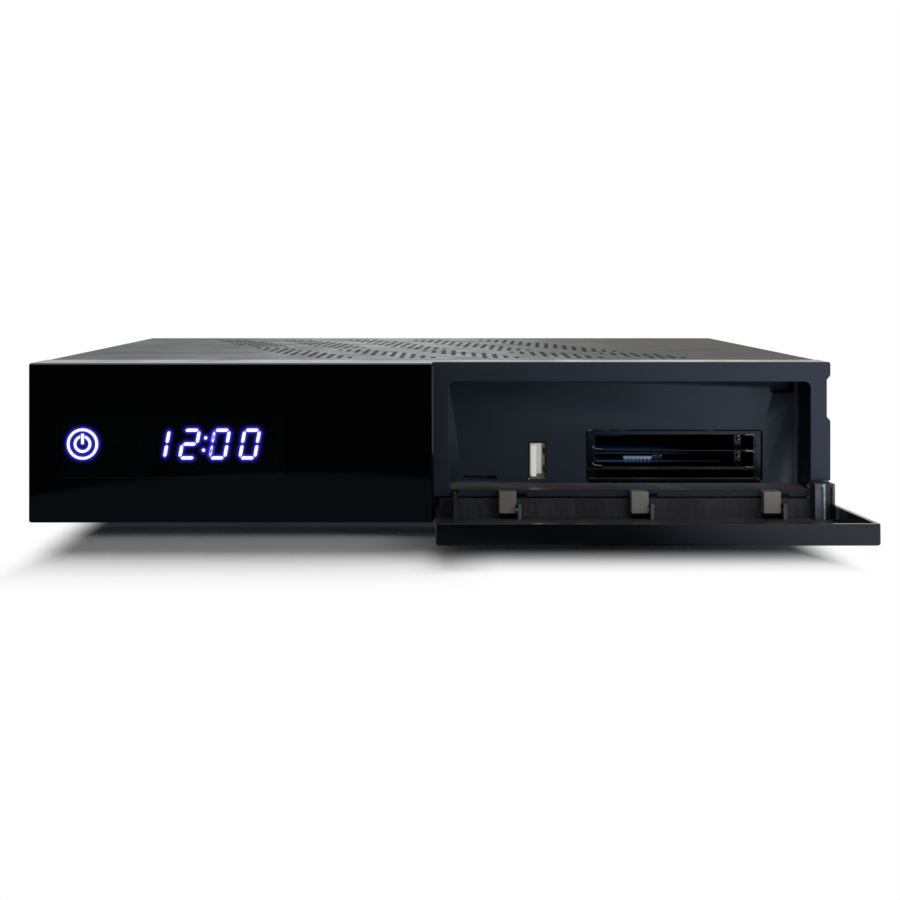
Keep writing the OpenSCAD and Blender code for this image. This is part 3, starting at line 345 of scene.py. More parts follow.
def finish(name, colour, rough, metallic=0.0, grain=2500.0, depth=0.004, streak=1.0, blotch=60.0,
           drift=0.12, gloss_drift=0.06, dust=0.3, coat=0.0, coat_rough=0.1, ior=1.5):
    """A material with a drifting colour and gloss, grain in its normal and dust on top. Depth is in mm."""
    material = bpy.data.materials.new(name)
    material.use_nodes = True
    tree = material.node_tree
    shader = tree.nodes["Principled BSDF"]
    shader.inputs["Metallic"].default_value = metallic
    shader.inputs["IOR"].default_value = ior
    shader.inputs["Coat Weight"].default_value = coat
    shader.inputs["Coat Roughness"].default_value = coat_rough
    patches = use_group(tree, BLOTCH, {"Scale": blotch}).outputs["Mask"]
    texture = use_group(tree, GRAIN, {"Scale": grain, "Streak": streak})
    settled = use_group(tree, DUST, {"Amount": dust}).outputs["Mask"]
    darker = [c * (1 - drift) for c in colour]
    lighter = [c * (1 + drift) for c in colour]
    base = mix_colours(tree, patches, darker, lighter)
    base = mix_colours(tree, calculate(tree, "MULTIPLY", texture.outputs["Mask"], 0.5), base,
                       [c * (1 + drift / 2) for c in colour])
    dusty = mix_colours(tree, settled, base, (0.32, 0.31, 0.29))
    tree.links.new(dusty, shader.inputs["Base Color"])
    gloss = remap(tree, patches, 0, 1, rough - gloss_drift, rough + gloss_drift)
    tree.links.new(calculate(tree, "MULTIPLY_ADD", settled, 0.5), shader.inputs["Roughness"])
    shader.inputs["Roughness"].links[0].from_node.inputs[1].default_value = 0.5
    tree.links.new(gloss, shader.inputs["Roughness"].links[0].from_node.inputs[2])
    bump = add_node(tree, "Bump", values={"Strength": 1.0, "Distance": depth * MM})
    tree.links.new(texture.outputs["Height"], bump.inputs["Height"])
    tree.links.new(bump.outputs["Normal"], shader.inputs["Normal"])
    return material


# %% Plain finishes
slate = finish("slate_plastic", (0.022, 0.031, 0.046), 0.42, grain=2600, depth=0.006, drift=0.06, dust=0.15)
# Near-black slate for the catch pocket, the bay's right wall and the knuckles' undersides: a painted shade.
painted_shade_slate = finish("slate_painted_shade", (0.004, 0.0045, 0.006), 0.4, grain=2600, depth=0.006, dust=0.0)
panel_black = finish("panel_gloss", (0.0004, 0.0004, 0.0007), 0.05, grain=90, depth=0.02, drift=0.1,
                     gloss_drift=0.012, dust=0.06)
door_black = finish("door_gloss", (0.004, 0.0042, 0.005), 0.12, grain=90, depth=0.02, gloss_drift=0.03,
                    dust=0.2)
door_satin = finish("door_rail_plastic", (0.028, 0.028, 0.031), 0.34, grain=900, depth=0.03, streak=2.5,
                    gloss_drift=0.1, dust=0.5)
cover_paint = finish("dark_painted_steel", (0.036, 0.035, 0.0335), 0.34, grain=1900, depth=0.012,
                     drift=0.08, dust=0.15)
door_inside = finish("door_inside", (0.034, 0.033, 0.032), 0.4, grain=700, depth=0.03, drift=0.3, dust=0.35)
polished_slate = finish("slate_top", (0.022, 0.031, 0.046), 0.14, grain=2600, depth=0.003, drift=0.06,
                        dust=0.1)
# The bay floor's ledge has a paler base colour than the slate: a painted light on its upward face, with dust
# settled on it too.
bay_ledge = finish("ledge_dust_and_painted_light", (0.075, 0.074, 0.076), 0.45, grain=2600, depth=0.006, drift=0.2, dust=0.6)
rear_paint = finish("rear_painted_steel", (0.03, 0.03, 0.032), 0.45, grain=1900, depth=0.012, dust=0.3)
knuckle_grey = finish("warm_grey_plastic", (0.255, 0.238, 0.222), 0.48, grain=2200, depth=0.008, dust=0.2)
black_plastic = finish("black_plastic", (0.012, 0.012, 0.014), 0.38, grain=2600, depth=0.006, dust=0.25)
cage_black = finish("cage_black", (0.0016, 0.0016, 0.002), 0.14, grain=1500, depth=0.006, gloss_drift=0.05,
                    dust=0.0)
lip_edge = finish("worn_lip", (0.16, 0.15, 0.135), 0.25, 1.0, grain=900, streak=6, depth=0.003, drift=0.35)
white_plastic = finish("white_plastic", (0.76, 0.75, 0.71), 0.4, grain=2600, depth=0.005, drift=0.05)
# A faint emission makes the milky insulator glow: a painted glow, since it is no lamp.
usb_plastic_with_painted_glow = finish("milky_plastic_painted_glow", (0.85, 0.84, 0.81), 0.4, grain=2600, depth=0.005, drift=0.05)
milky_painted_glow_shader = usb_plastic_with_painted_glow.node_tree.nodes["Principled BSDF"]
milky_painted_glow_shader.inputs["Emission Color"].default_value = (1, 0.99, 0.96, 1)
milky_painted_glow_shader.inputs["Emission Strength"].default_value = 0.3
blue_plastic = finish("blue_plastic", (0.02, 0.10, 0.5), 0.38, grain=2600, depth=0.005)
rubber = finish("rubber", (0.016, 0.016, 0.017), 0.8, grain=1800, depth=0.02, drift=0.2, dust=0.7)
brass = finish("brass", (0.62, 0.44, 0.16), 0.3, 1.0, grain=1800, streak=12, depth=0.002)
gold = finish("gold_contact", (0.83, 0.6, 0.25), 0.22, 1.0, grain=1800, streak=10, depth=0.001)
bright_steel = finish("bright_steel", (0.62, 0.63, 0.64), 0.3, 1.0, grain=1600, streak=8, depth=0.002)
black_steel = finish("black_steel", (0.03, 0.03, 0.032), 0.36, 0.3, grain=1900, depth=0.004)
tin_plate = finish("tin_plate", (0.55, 0.56, 0.56), 0.34, 1.0, grain=900, streak=6, depth=0.003)
nickel = finish("nickel", (0.6, 0.57, 0.53), 0.24, 1.0, grain=1400, streak=5, depth=0.002)
usb_nickel = finish("usb_shell_nickel", (0.13, 0.105, 0.08), 0.5, 1.0, grain=1200, streak=5, depth=0.003)
blue_steel = finish("guide_steel", (0.035, 0.10, 0.24), 0.4, 0.5, grain=700, streak=9, depth=0.003,
                    drift=0.3, dust=0.0)
pale_blue = finish("connector_plastic", (0.30, 0.42, 0.62), 0.4, grain=2600, depth=0.003, drift=0.2, dust=0.0)
magnet = finish("magnet", (0.35, 0.36, 0.37), 0.35, 1.0, grain=900, depth=0.004)
aluminium = finish("aluminium", (0.72, 0.73, 0.74), 0.36, 1.0, grain=1500, streak=14, depth=0.003)
sleeve_blue = finish("capacitor_sleeve", (0.03, 0.04, 0.055), 0.35, grain=2000, depth=0.002)

# %% [markdown]
# Some finishes have a pattern of their own: galvanised sheet has its spangle, a circuit board its tracks
# under the lacquer, and the clock's window is smoked glass. Those start from the common finish and change
# the colour that feeds the shader, or stand alone where glass or light is concerned.

# %% Galvanised sheet


def recoloured(material, make_colour):
    """Puts what make_colour(tree, old_colour_socket) returns in front of the shader's base colour."""
    tree = material.node_tree
    socket = tree.nodes["Principled BSDF"].inputs["Base Color"]
    tree.links.new(make_colour(tree, socket.links[0].from_socket), socket)
    return material


def spangle(tree, base):
    """Crystals of zinc, each a slightly different grey."""
    where = add_node(tree, "TexCoord")
    crystals = add_node(tree, "TexVoronoi", values={"Scale": 210.0})
    tree.links.new(where.outputs["Object"], crystals.inputs["Vector"])
    tone = add_node(tree, "SeparateColor")
    tree.links.new(crystals.outputs["Color"], tone.inputs[0])
    return mix_colours(tree, remap(tree, tone.outputs[0], 0, 1, 0.0, 0.45), base, (0.33, 0.34, 0.36))


zinc = recoloured(finish("zinc_steel", (0.5, 0.51, 0.52), 0.42, 1.0, grain=600, depth=0.004, drift=0.1),
                  spangle)

# %% Steel that fades into the slots' dark


def fade_right(tree, base):
    """Paints the steel from blue to black towards the right, as if the slots were lit from the left."""
    where = add_node(tree, "TexCoord")
    across = add_node(tree, "SeparateXYZ")
    tree.links.new(where.outputs["Object"], across.inputs[0])
    return mix_colours(tree, remap(tree, across.outputs["X"], 0.06, 0.094, smooth=True), base,
                       (0.001, 0.002, 0.004))


fading_blue = recoloured(finish("guide_steel_painted_shade", (0.035, 0.10, 0.24), 0.4, 0.5, grain=700, streak=9,
                                depth=0.003, drift=0.3, dust=0.0), fade_right)

# %% Circuit board


def tracks(tree, base):
    """Copper tracks as a lighter green, with plated holes in a grid."""
    where = add_node(tree, "TexCoord")
    flat = add_node(tree, "Mapping", values={"Scale": (1, 1, 0)})
    tree.links.new(where.outputs["Object"], flat.inputs["Vector"])
    lines = add_node(tree, "TexBrick", {"offset": 0.37, "squash": 0.6, "squash_frequency": 3},
                     {"Scale": 130.0, "Mortar Size": 0.09, "Mortar Smooth": 0.1, "Brick Width": 1.7,
                      "Row Height": 0.4})
    tree.links.new(flat.outputs[0], lines.inputs["Vector"])
    holes = add_node(tree, "TexVoronoi", values={"Scale": 300.0, "Randomness": 0.75})
    tree.links.new(flat.outputs[0], holes.inputs["Vector"])
    green = mix_colours(tree, calculate(tree, "MULTIPLY", lines.outputs["Fac"], 0.8), base,
                        (0.02, 0.17, 0.06))
    plated = remap(tree, holes.outputs["Distance"], 0.09, 0.13, 1.0, 0.0)
    return mix_colours(tree, plated, green, (0.55, 0.5, 0.36))


board_green = recoloured(finish("circuit_board", (0.008, 0.08, 0.03), 0.3, depth=0.004, dust=0.7), tracks)

# %% Cover paint


def sheen_by_place(material):
    """Makes the paint smoothest left of the middle and duller towards both ends, as the cover shows it."""
    tree = material.node_tree
    where = add_node(tree, "TexCoord")
    axes = add_node(tree, "SeparateXYZ")
    tree.links.new(where.outputs["Object"], axes.inputs[0])
    duller = calculate(tree, "MAXIMUM", remap(tree, axes.outputs["X"], -0.12, -0.02, 0.08, -0.1, smooth=True),
                       remap(tree, axes.outputs["X"], 0.0, 0.11, -0.1, 0.3, smooth=True))
    socket = tree.nodes["Principled BSDF"].inputs["Roughness"]
    tree.links.new(calculate(tree, "ADD", socket.links[0].from_socket, duller), socket)


sheen_by_place(cover_paint)

# %% Rubbed rail, and painted highlights on the ears and the stop arm


def rub_marks(tree, base):
    """Upright scuffs where the closed door's rail rubs on the bezel: dark and pale streaks side by side."""
    where = add_node(tree, "TexCoord")
    squeezed = add_node(tree, "Mapping", values={"Scale": (1, 0.06, 0.06)})
    tree.links.new(where.outputs["Object"], squeezed.inputs["Vector"])
    fine = noise(tree, squeezed.outputs[0], 1500.0, 2.0, 0.7)
    patches = noise(tree, squeezed.outputs[0], 90.0, 1.0)
    amount = calculate(tree, "MULTIPLY", remap(tree, fine, 0.35, 0.65),
                       remap(tree, patches, 0.4, 0.6, 0.25, 1.0))
    return mix_colours(tree, amount, base, (0.062, 0.063, 0.068))


door_satin = recoloured(door_satin, rub_marks)
# The ears' pale bluish front is a painted highlight, with the rub streaks over it.
ear_edge = recoloured(finish("ear_rubs_and_painted_highlight", (0.13, 0.15, 0.18), 0.32, grain=900, streak=2.5, depth=0.03,
                             drift=0.4, dust=0.0), rub_marks)
ARM_LEFT, ARM_RIGHT = 128.1, 134.8


def painted_stop_arm_highlights(tree, base):
    """The stop arm's web in painted highlights: a bright line near its middle, a bluish painted sheen on its
    left and paler rims at both sides.
    """
    where = add_node(tree, "TexCoord")
    axes = add_node(tree, "SeparateXYZ")
    tree.links.new(where.outputs["Object"], axes.inputs[0])
    across = remap(tree, axes.outputs["X"], ARM_LEFT * MM, ARM_RIGHT * MM)
    speckle = remap(tree, noise(tree, where.outputs["Object"], 2600.0, 2.0, 0.7), 0.4, 0.62, 0.35, 1.0)
    left = calculate(tree, "MULTIPLY", remap(tree, across, 0.42, 0.56, 1.0, 0.0, smooth=True), speckle)
    line = calculate(tree, "MULTIPLY", remap(tree, across, 0.37, 0.43, smooth=True),
                     remap(tree, across, 0.47, 0.53, 1.0, 0.0, smooth=True))
    line = calculate(tree, "MULTIPLY", line, speckle)
    rims = calculate(tree, "MAXIMUM", remap(tree, across, 0.88, 0.95),
                     remap(tree, across, 0.0, 0.06, 1.0, 0.0))
    field = mix_colours(tree, left, (0.03, 0.027, 0.026), (0.15, 0.18, 0.23))
    field = mix_colours(tree, rims, field, (0.2, 0.185, 0.175))
    return mix_colours(tree, line, field, (0.6, 0.72, 0.85))


stop_arm_painted_light = recoloured(finish("stop_arm_painted_highlights", (0.03, 0.03, 0.03), 0.36, grain=900, depth=0.02,
                                dust=0.0), painted_stop_arm_highlights)

# %% Smoked window
# One interface lets about half of the light through, so the lamps behind are seen at a quarter.
smoked = bpy.data.materials.new("smoked_lens")
smoked.use_nodes = True
tree = smoked.node_tree
shader = tree.nodes["Principled BSDF"]
shader.inputs["Transmission Weight"].default_value = 1.0
shader.inputs["IOR"].default_value = 1.49
patches = use_group(tree, BLOTCH, {"Scale": 40.0}).outputs["Mask"]
tint = mix_colours(tree, patches, (0.30, 0.30, 0.32), (0.34, 0.34, 0.36))
tree.links.new(tint, shader.inputs["Base Color"])
tree.links.new(remap(tree, patches, 0, 1, 0.0, 0.012), shader.inputs["Roughness"])

# %% [markdown]
# The lamps are the brightest thing on the object. They are white in the middle and blue round the edge
# because the eye and the camera are dazzled; here the bars give the white, and a thin card behind them
# carries the blue glow, which falls off with the distance from the bars. The distance is measured once
# in the script and kept as an attribute on the card's own vertices, so it shows from every side.

# %% Lit materials
LAMP_WHITE = (0.80, 0.80, 1.0)
GLOW_BLUE = (0.055, 0.045, 0.9)


def lit(name, strength, colour=LAMP_WHITE):
    """A lamp's surface, dimmer by a few percent in blotches, as a real diffuser is."""
    material = bpy.data.materials.new(name)
    material.use_nodes = True
    tree = material.node_tree
    shader = tree.nodes["Principled BSDF"]
    shader.inputs["Base Color"].default_value = (0.7, 0.7, 0.75, 1)
    shader.inputs["Roughness"].default_value = 0.5
    shader.inputs["Emission Strength"].default_value = strength
    patches = use_group(tree, BLOTCH, {"Scale": 900.0}).outputs["Mask"]
    tree.links.new(mix_colours(tree, patches, [c * 0.94 for c in colour], colour),
                   shader.inputs["Emission Color"])
    return material


lamp = lit("lit_blue_white", 5.5)
dim_lamp = lit("lit_dots", 2.2, (0.45, 0.47, 1.0))

glow = bpy.data.materials.new("lamp_glow")
glow.use_nodes = True
tree = glow.node_tree
shader = tree.nodes["Principled BSDF"]
shader.inputs["Base Color"].default_value = (0.004, 0.004, 0.005, 1)
shader.inputs["Roughness"].default_value = 0.6
shader.inputs["Emission Strength"].default_value = 5.0
amount = add_node(tree, "Attribute", {"attribute_name": "glow"})
tree.links.new(mix_colours(tree, amount.outputs["Fac"], (0, 0, 0), GLOW_BLUE),
               shader.inputs["Emission Color"])

# %% [markdown]
# ## Ways to make a piece
# Two kinds of piece follow. A carried-over solid that only needs softer edges is copied, merged and given a
# Bevel modifier, which stands for the CAD node. A piece that the solids leave out is built from bmesh
# operators. Both end the same way: the mesh becomes an object at the origin that rides on a CAD body.

# %% Making pieces
SMOOTH_BELOW = math.radians(32)
made_pieces = []


def as_piece(mesh, name, material, body="receiver", soft=0.0, segments=2, stands_for=(), turn_out=False,
             soft_where=None):
    """Turns a bmesh into a piece that rides on a body. soft is the width in mm of the bevel on its edges,
    and soft_where(edge) says which sharp edges take it."""
    if turn_out:
        bmesh.ops.recalc_face_normals(mesh, faces=mesh.faces)
    if soft_where:
        weight = mesh.edges.layers.float.new("bevel_weight_edge")
        for edge in mesh.edges:
            sharp = edge.is_manifold and edge.calc_face_angle(0.0) > SMOOTH_BELOW
            edge[weight] = 1.0 if sharp and soft_where(edge) else 0.0
    data = bpy.data.meshes.new(name)
    mesh.to_mesh(data)
    mesh.free()
    for each in (material if isinstance(material, (list, tuple)) else [material]):
        data.materials.append(each)
    data.polygons.foreach_set("use_smooth", [True] * len(data.polygons))
    data.set_sharp_from_angle(angle=SMOOTH_BELOW)
    thing = bpy.data.objects.new(name, data)
    scene.collection.objects.link(thing)
    if soft:
        bevel = thing.modifiers.new("soft_edges", "BEVEL")
        bevel.width = soft * MM
        bevel.segments = segments
        bevel.limit_method = "WEIGHT" if soft_where else "ANGLE"
        bevel.angle_limit = SMOOTH_BELOW
        bevel.use_clamp_overlap = False
        bevel.harden_normals = True
    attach(thing, body)
    if stands_for:
        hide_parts(*stands_for)
    made_pieces.append(name)
    return thing


def copy_of(*names, merge=0.002):
    """A bmesh with the merged solids of some CAD nodes. Corners closer than merge, in mm, become one."""
    mesh = bmesh.new()
    for name in names:
        mesh.from_mesh(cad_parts[name].data)
    for face in mesh.faces:
        face.material_index = 0
    bmesh.ops.remove_doubles(mesh, verts=mesh.verts, dist=merge * MM)
    bmesh.ops.dissolve_limit(mesh, angle_limit=math.radians(0.5), verts=mesh.verts, edges=mesh.edges)
    return mesh


def block(mesh, low, high):
    """Adds a box between two corners in mm and returns its vertices."""
    made = bmesh.ops.create_cube(mesh, size=1)["verts"]
    low, high = Vector(low), Vector(high)
    bmesh.ops.scale(mesh, verts=made, vec=(high - low) * MM)
    bmesh.ops.translate(mesh, verts=made, vec=place(*((low + high) / 2)))
    return made


def turned(mesh, profile, centre, axis="Y", steps=40):
    """Adds a turned form: (radius, length) points in mm, spun round an axis through a centre in mm."""
    earlier = set(mesh.verts)
    verts = [mesh.verts.new((r * MM, 0, along * MM)) for r, along in profile]
    edges = [mesh.edges.new(pair) for pair in zip(verts, verts[1:])]
    bmesh.ops.spin(mesh, geom=verts + edges, axis=(0, 0, 1), cent=(0, 0, 0), angle=2 * math.pi, steps=steps,
                   use_merge=True)
    bmesh.ops.remove_doubles(mesh, verts=[v for v in mesh.verts if v not in earlier], dist=1e-6)
    made = [v for v in mesh.verts if v not in earlier]
    turn = {"Y": Matrix.Rotation(-math.pi / 2, 3, "X"), "X": Matrix.Rotation(math.pi / 2, 3, "Y"),
            "Z": Matrix.Identity(3)}[axis]
    bmesh.ops.rotate(mesh, verts=made, cent=(0, 0, 0), matrix=turn)
    bmesh.ops.translate(mesh, verts=made, vec=place(*centre))


def wire(mesh, path, radius, sides=8):
    """Adds a round rod of a radius in mm that follows points in mm, with its ends closed."""
    points = [place(*p) for p in path]
    rings = []
    for i, point in enumerate(points):
        ahead = points[min(i + 1, len(points) - 1)] - points[max(i - 1, 0)]
        turn = ahead.to_track_quat("Z", "Y").to_matrix().to_4x4()
        ring = bmesh.ops.create_circle(mesh, segments=sides, radius=radius * MM,
                                       cap_ends=i in (0, len(points) - 1),
                                       matrix=Matrix.Translation(point) @ turn)["verts"]
        rings.append(list({e for v in ring for e in v.link_edges}))
    for one, two in zip(rings, rings[1:]):
        bmesh.ops.bridge_loops(mesh, edges=one + two)
    return mesh


# %% [markdown]
# ## Clock panel
# The panel is one polished moulding. Its eased edge is in the solid; the bevel below only breaks the last
# sharp line so that it can catch a thin highlight.

# %% Clock panel and window
as_piece(copy_of("display_panel"), "clock_panel", panel_black, soft=0.12,
         stands_for=["display_panel"])
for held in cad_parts["display_lens"].material_slots:
    held.material = smoked

# %% Lamps
lamp_low, lamp_high = span_mm("clock_segments")
COLON_X = (lamp_low.x + lamp_high.x) / 2


def behind_lamps(point):
    """True for a point of a lamp's housing, behind its lit face."""
    return point.y > place(0, lamp_high.y - 0.02, 0).y


def lamps_from(name, new_name, is_dim):
    """Copies a lamp node and gives its faces the bright, the dim or the housing material."""
    mesh = copy_of(name)
    for face in mesh.faces:
        centre = face.calc_center_median()
        if behind_lamps(centre):
            face.material_index = 2
        elif is_dim and is_dim(centre):
            face.material_index = 1
            bmesh.ops.scale(mesh, verts=face.verts, vec=(0.6, 1, 0.6), space=Matrix.Translation(-centre))
    return as_piece(mesh, new_name, [lamp, dim_lamp, black_plastic], stands_for=[name])


digit_middle = (lamp_low.z + lamp_high.z) / 2


def in_colon(centre):
    """The two dots between the hours and the minutes."""
    across = centre.x / MM - COLON_X
    return abs(across) < 1.6 and abs(abs(centre.z / MM - digit_middle) - 2.0) < 0.8


lamps_from("clock_segments", "clock_bars", in_colon)
lamps_from("touch_key_light", "standby_light", None)


# %% Glow cards


def glow_card(name, lamps, margin, step=0.22, reach=0.3):
    """A card just behind some lamps whose glow attribute falls with the distance from them."""
    bars = copy_of(lamps)
    housings = [f for f in bars.faces if behind_lamps(f.calc_center_median())]
    bmesh.ops.delete(bars, geom=housings, context="FACES")
    tree_of_lamps = BVHTree.FromBMesh(bars)
    bars.free()
    low, high = span_mm(lamps)
    back = lamp_high.y - 0.04
    width, height = high.x - low.x + 2 * margin, high.z - low.z + 2 * margin
    mesh = bmesh.new()
    bmesh.ops.create_grid(mesh, x_segments=int(width / step), y_segments=int(height / step), size=0.5)
    bmesh.ops.scale(mesh, verts=mesh.verts, vec=(width * MM, height * MM, 1))
    bmesh.ops.rotate(mesh, verts=mesh.verts, cent=(0, 0, 0), matrix=Matrix.Rotation(math.pi / 2, 3, "X"))
    middle = (low + high) / 2
    bmesh.ops.translate(mesh, verts=mesh.verts, vec=place(middle.x, back, middle.z))
    card = as_piece(mesh, name, glow)
    layer = card.data.attributes.new("glow", "FLOAT", "POINT")
    for i, vertex in enumerate(card.data.vertices):
        away = tree_of_lamps.find_nearest(vertex.co)[3]
        inset = min(width / 2 - abs(vertex.co.x / MM - middle.x),
                    height / 2 - abs(vertex.co.z / MM - middle.z))
        layer.data[i].value = math.exp(-away / MM / reach) * min(1.0, max(0.0, inset / margin) * 1.6)
    return card


glow_card("clock_glow", "clock_segments", 2.4)
glow_card("standby_glow", "touch_key_light", 1.6)
print("lamps:", made_pieces[-4:])

# %% [markdown]
# ## Bezel, bay and door
# These are the parts that the photograph shows largest, so each is a softened copy of its solid. The
# bevels are a quarter of a millimetre or less: enough for a moulded edge to catch the light as a thin line.

# %% Mouldings
BAY_RIGHT, BAY_BACK, BAY_FLOOR = 126.5, 21.3, 15.3


def on_bezel_front(edge):
    """Keeps the bevel to the front's own rims, clear of the cuts that the door's arms swing through."""
    ends = [v.co for v in edge.verts]
    return all(p.y < place(0, BAY_BACK + 0.2, 0).y and p.z > BAY_FLOOR * MM - 0.0006 for p in ends)


# The catch pocket's inside and the bay's right wall take the near-black slate: a painted shade.
bezel = copy_of("front_bezel", merge=0.06)
# The bay floor takes the paler ledge finish: a painted light on its upward face, and dust.
for face in bezel.faces:
    x, y, z = (face.calc_center_median() - place(0, 0, 0)) / MM
    in_pocket = y > BAY_BACK + 0.1 and 117 < x < 127 and 46 < z < 51
    right_wall = face.normal.x < -0.5 and BAY_RIGHT < x < 129 and y < BAY_BACK + 0.2
    on_floor = face.normal.z > 0.7 and abs(z - BAY_FLOOR) < 0.7 and 5 < x < 129 and y < BAY_BACK + 0.2
    on_top = face.normal.z > 0.9 and z > 57
    face.material_index = 1 if in_pocket or right_wall else 2 if on_floor else 3 if on_top else 0
as_piece(bezel, "bezel_moulding", [slate, painted_shade_slate, bay_ledge, polished_slate],
         soft=0.22, stands_for=["front_bezel"], soft_where=on_bezel_front)
tray = copy_of("door_shell")
tray_low, tray_high = span_mm("door_shell")
for face in tray.faces:
    x, y, z = (face.calc_center_median() - place(0, 0, 0)) / MM
    inside = face.normal.z > 0.7 and z < tray_low.z + 3 and tray_low.y + 2 < y < tray_high.y - 2
    face.material_index = 1 if inside else 0
as_piece(tray, "door_moulding", [door_black, door_inside], "door", soft=0.12,
         stands_for=["door_shell"])
rail = copy_of("door_hinge_rail")
ears_from = [span_mm("hinge_knuckle_" + side)[1].x + 0.3 for side in ("left", "middle", "right")]
# The rail's front faces: the stop arm's take its painted highlights, the ears' their painted highlight with
# rub streaks.
for face in rail.faces:
    x = (face.calc_center_median().x - place(0, 0, 0).x) / MM
    if face.normal.y < -0.5:
        face.material_index = 2 if x > ARM_LEFT - 0.1 else 1 if any(0 < x - e < 1.5 for e in ears_from) else 0
as_piece(rail, "door_rail", [door_satin, ear_edge, stop_arm_painted_light], "door", soft=0.1,
         stands_for=["door_hinge_rail"])
# Below CURL_TOP each knuckle's rounded underside takes the near-black slate: a painted shade.
CURL_TOP = 7.9
for side in ("left", "middle", "right"):
    knuckle = copy_of("hinge_knuckle_" + side)
    bmesh.ops.bisect_plane(knuckle, geom=knuckle.verts[:] + knuckle.edges[:] + knuckle.faces[:], dist=1e-6,
                           plane_co=place(0, 0, CURL_TOP), plane_no=(0, 0, 1))
    for face in knuckle.faces:
        face.material_index = 1 if face.calc_center_median().z < CURL_TOP * MM else 0
    as_piece(knuckle, "knuckle_" + side, [knuckle_grey, painted_shade_slate], soft=0.3,
             segments=3, stands_for=["hinge_knuckle_" + side])
for corner in ("front_left", "front_right", "rear_left", "rear_right"):
    as_piece(copy_of("foot_" + corner), "rubber_foot_" + corner, rubber, soft=0.6, segments=3,
             stands_for=["foot_" + corner])

# %% [markdown]
# ## Behind the door
# The opening for the access card modules is a black cage with two slots over a smart-card reader. What
# makes it read as a real card bay is small: the slots' round steel guides on the right, contact pins, a
# pale connector deep inside and the steel floor of each slot, painted from bluish to black: a painted shade.

# %% Cage and reader
cage_low = span_mm("module_cage")[0]
slot_middles = [cage_low.z + 0.7 + 2.6, cage_low.z + 0.7 + 5.8 + 2.6]
as_piece(copy_of("module_cage"), "card_cage", cage_black, soft=0.22,
         stands_for=["module_cage"])
as_piece(copy_of("smart_card_reader"), "card_reader", cage_black, soft=0.3, segments=3,
         stands_for=["smart_card_reader"])

# %% Slot guides
guides = bmesh.new()
front = cage_low.y - 0.1
for middle in slot_middles:
    low, high = middle - 2.85, middle + 2.7
    wire(guides, [(109.6, front, high - 0.15), (110.3, front, high), (112.2, front, high),
                  (112.9, front, high - 0.5), (113.2, front, high - 1.4), (113.2, front, low + 1.4),
                  (112.8, front, low + 0.5),
                  (112.0, front, low), (110.4, front, low), (109.7, front, low + 0.3)], 0.24)
    wire(guides, [(56.1, front, middle - 1.2), (56.5, front, middle - 1.9), (57.4, front, middle - 2.2),
                  (59.5, front, middle - 2.3)], 0.2)
as_piece(guides, "slot_guides", nickel, turn_out=True)

# %% Reader lips
lips = bmesh.new()
lip_y = cage_low.y - 0.12
for left, right, z in ((59.6, 109.2, 20.25), (55.0, 112.6, 16.75)):
    wire(lips, [(left, lip_y + 0.2, z + 0.1), (left + 0.5, lip_y, z), (right - 0.5, lip_y, z),
                (right, lip_y + 0.2, z + 0.1)], 0.2)
for x, turn in ((53.9, 1), (115.2, -1)):
    wire(lips, [(x, lip_y, 15.6), (x + turn * 0.7, lip_y, 16.2), (x + turn * 1.9, lip_y + 0.2, 17.1)], 0.22)
as_piece(lips, "reader_lips", lip_edge, turn_out=True)

# %% Slot floors, connector teeth and contact pins
plates = bmesh.new()
first, deep = cage_low.y + 0.9, cage_low.y + 64
for left, right, low, high in ((56.2, 86.0, 26.72, 26.95), (56.4, 89.5, 25.3, 25.65),
                               (57.4, 101.0, 22.35, 22.95)):
    block(plates, (left, first, low), (right, deep, high))
as_piece(plates, "slot_floors", fading_blue, soft=0.04)

teeth = bmesh.new()
block(teeth, (67.3, cage_low.y + 2.6, 23.2), (77.2, cage_low.y + 7, 24.2))
for i in range(7):
    x = 67.7 + i * 1.36
    block(teeth, (x, cage_low.y + 1.6, 22.1), (x + 0.6, cage_low.y + 5, 23.4))
as_piece(teeth, "connector_teeth", pale_blue, soft=0.08)

ribs = bmesh.new()
for i in range(13):
    x = 57.6 + i * 0.9
    block(ribs, (x, cage_low.y + 16, 29.6), (x + 0.4, cage_low.y + 50, 31.6))
as_piece(ribs, "slot_ribs", blue_steel, soft=0.05)

spots = bmesh.new()
for z in (30.95, 29.5, 25.2, 23.6):
    turned(spots, [(0, -0.6), (0.3, -0.55), (0.46, -0.3), (0.46, 1.6)], (108.9, 30.0, z), steps=12)
for x in (77.9, 80.2):
    turned(spots, [(0, -0.5), (0.25, -0.45), (0.4, -0.2), (0.4, 1.2)], (x, cage_low.y + 2.4, 24.4), steps=12)
as_piece(spots, "contact_pins", gold, turn_out=True)
posts = bmesh.new()
for middle in slot_middles:
    block(posts, (107.6, 31.2, middle - 2.55), (110.2, 33.0, middle + 2.55))
block(posts, (77.2, cage_low.y + 3.4, 22.9), (81.0, cage_low.y + 6, 24.9))
as_piece(posts, "contact_posts", cage_black, soft=0.1)

# %% [markdown]
# The front USB socket stands on end. Its shell is folded from one sheet, with two spring tongues pressed
# into one wide side, and its white insulator carries four gilt contacts.

# %% Front USB socket
usb_low, usb_high = span_mm("front_usb_shell")
as_piece(copy_of("front_usb_shell"), "usb_shell", usb_nickel, soft=0.1,
         stands_for=["front_usb_shell"])
# The USB insulator carries a painted glow.
as_piece(copy_of("front_usb_insulator"), "usb_tongue", usb_plastic_with_painted_glow, soft=0.12,
         stands_for=["front_usb_insulator"])

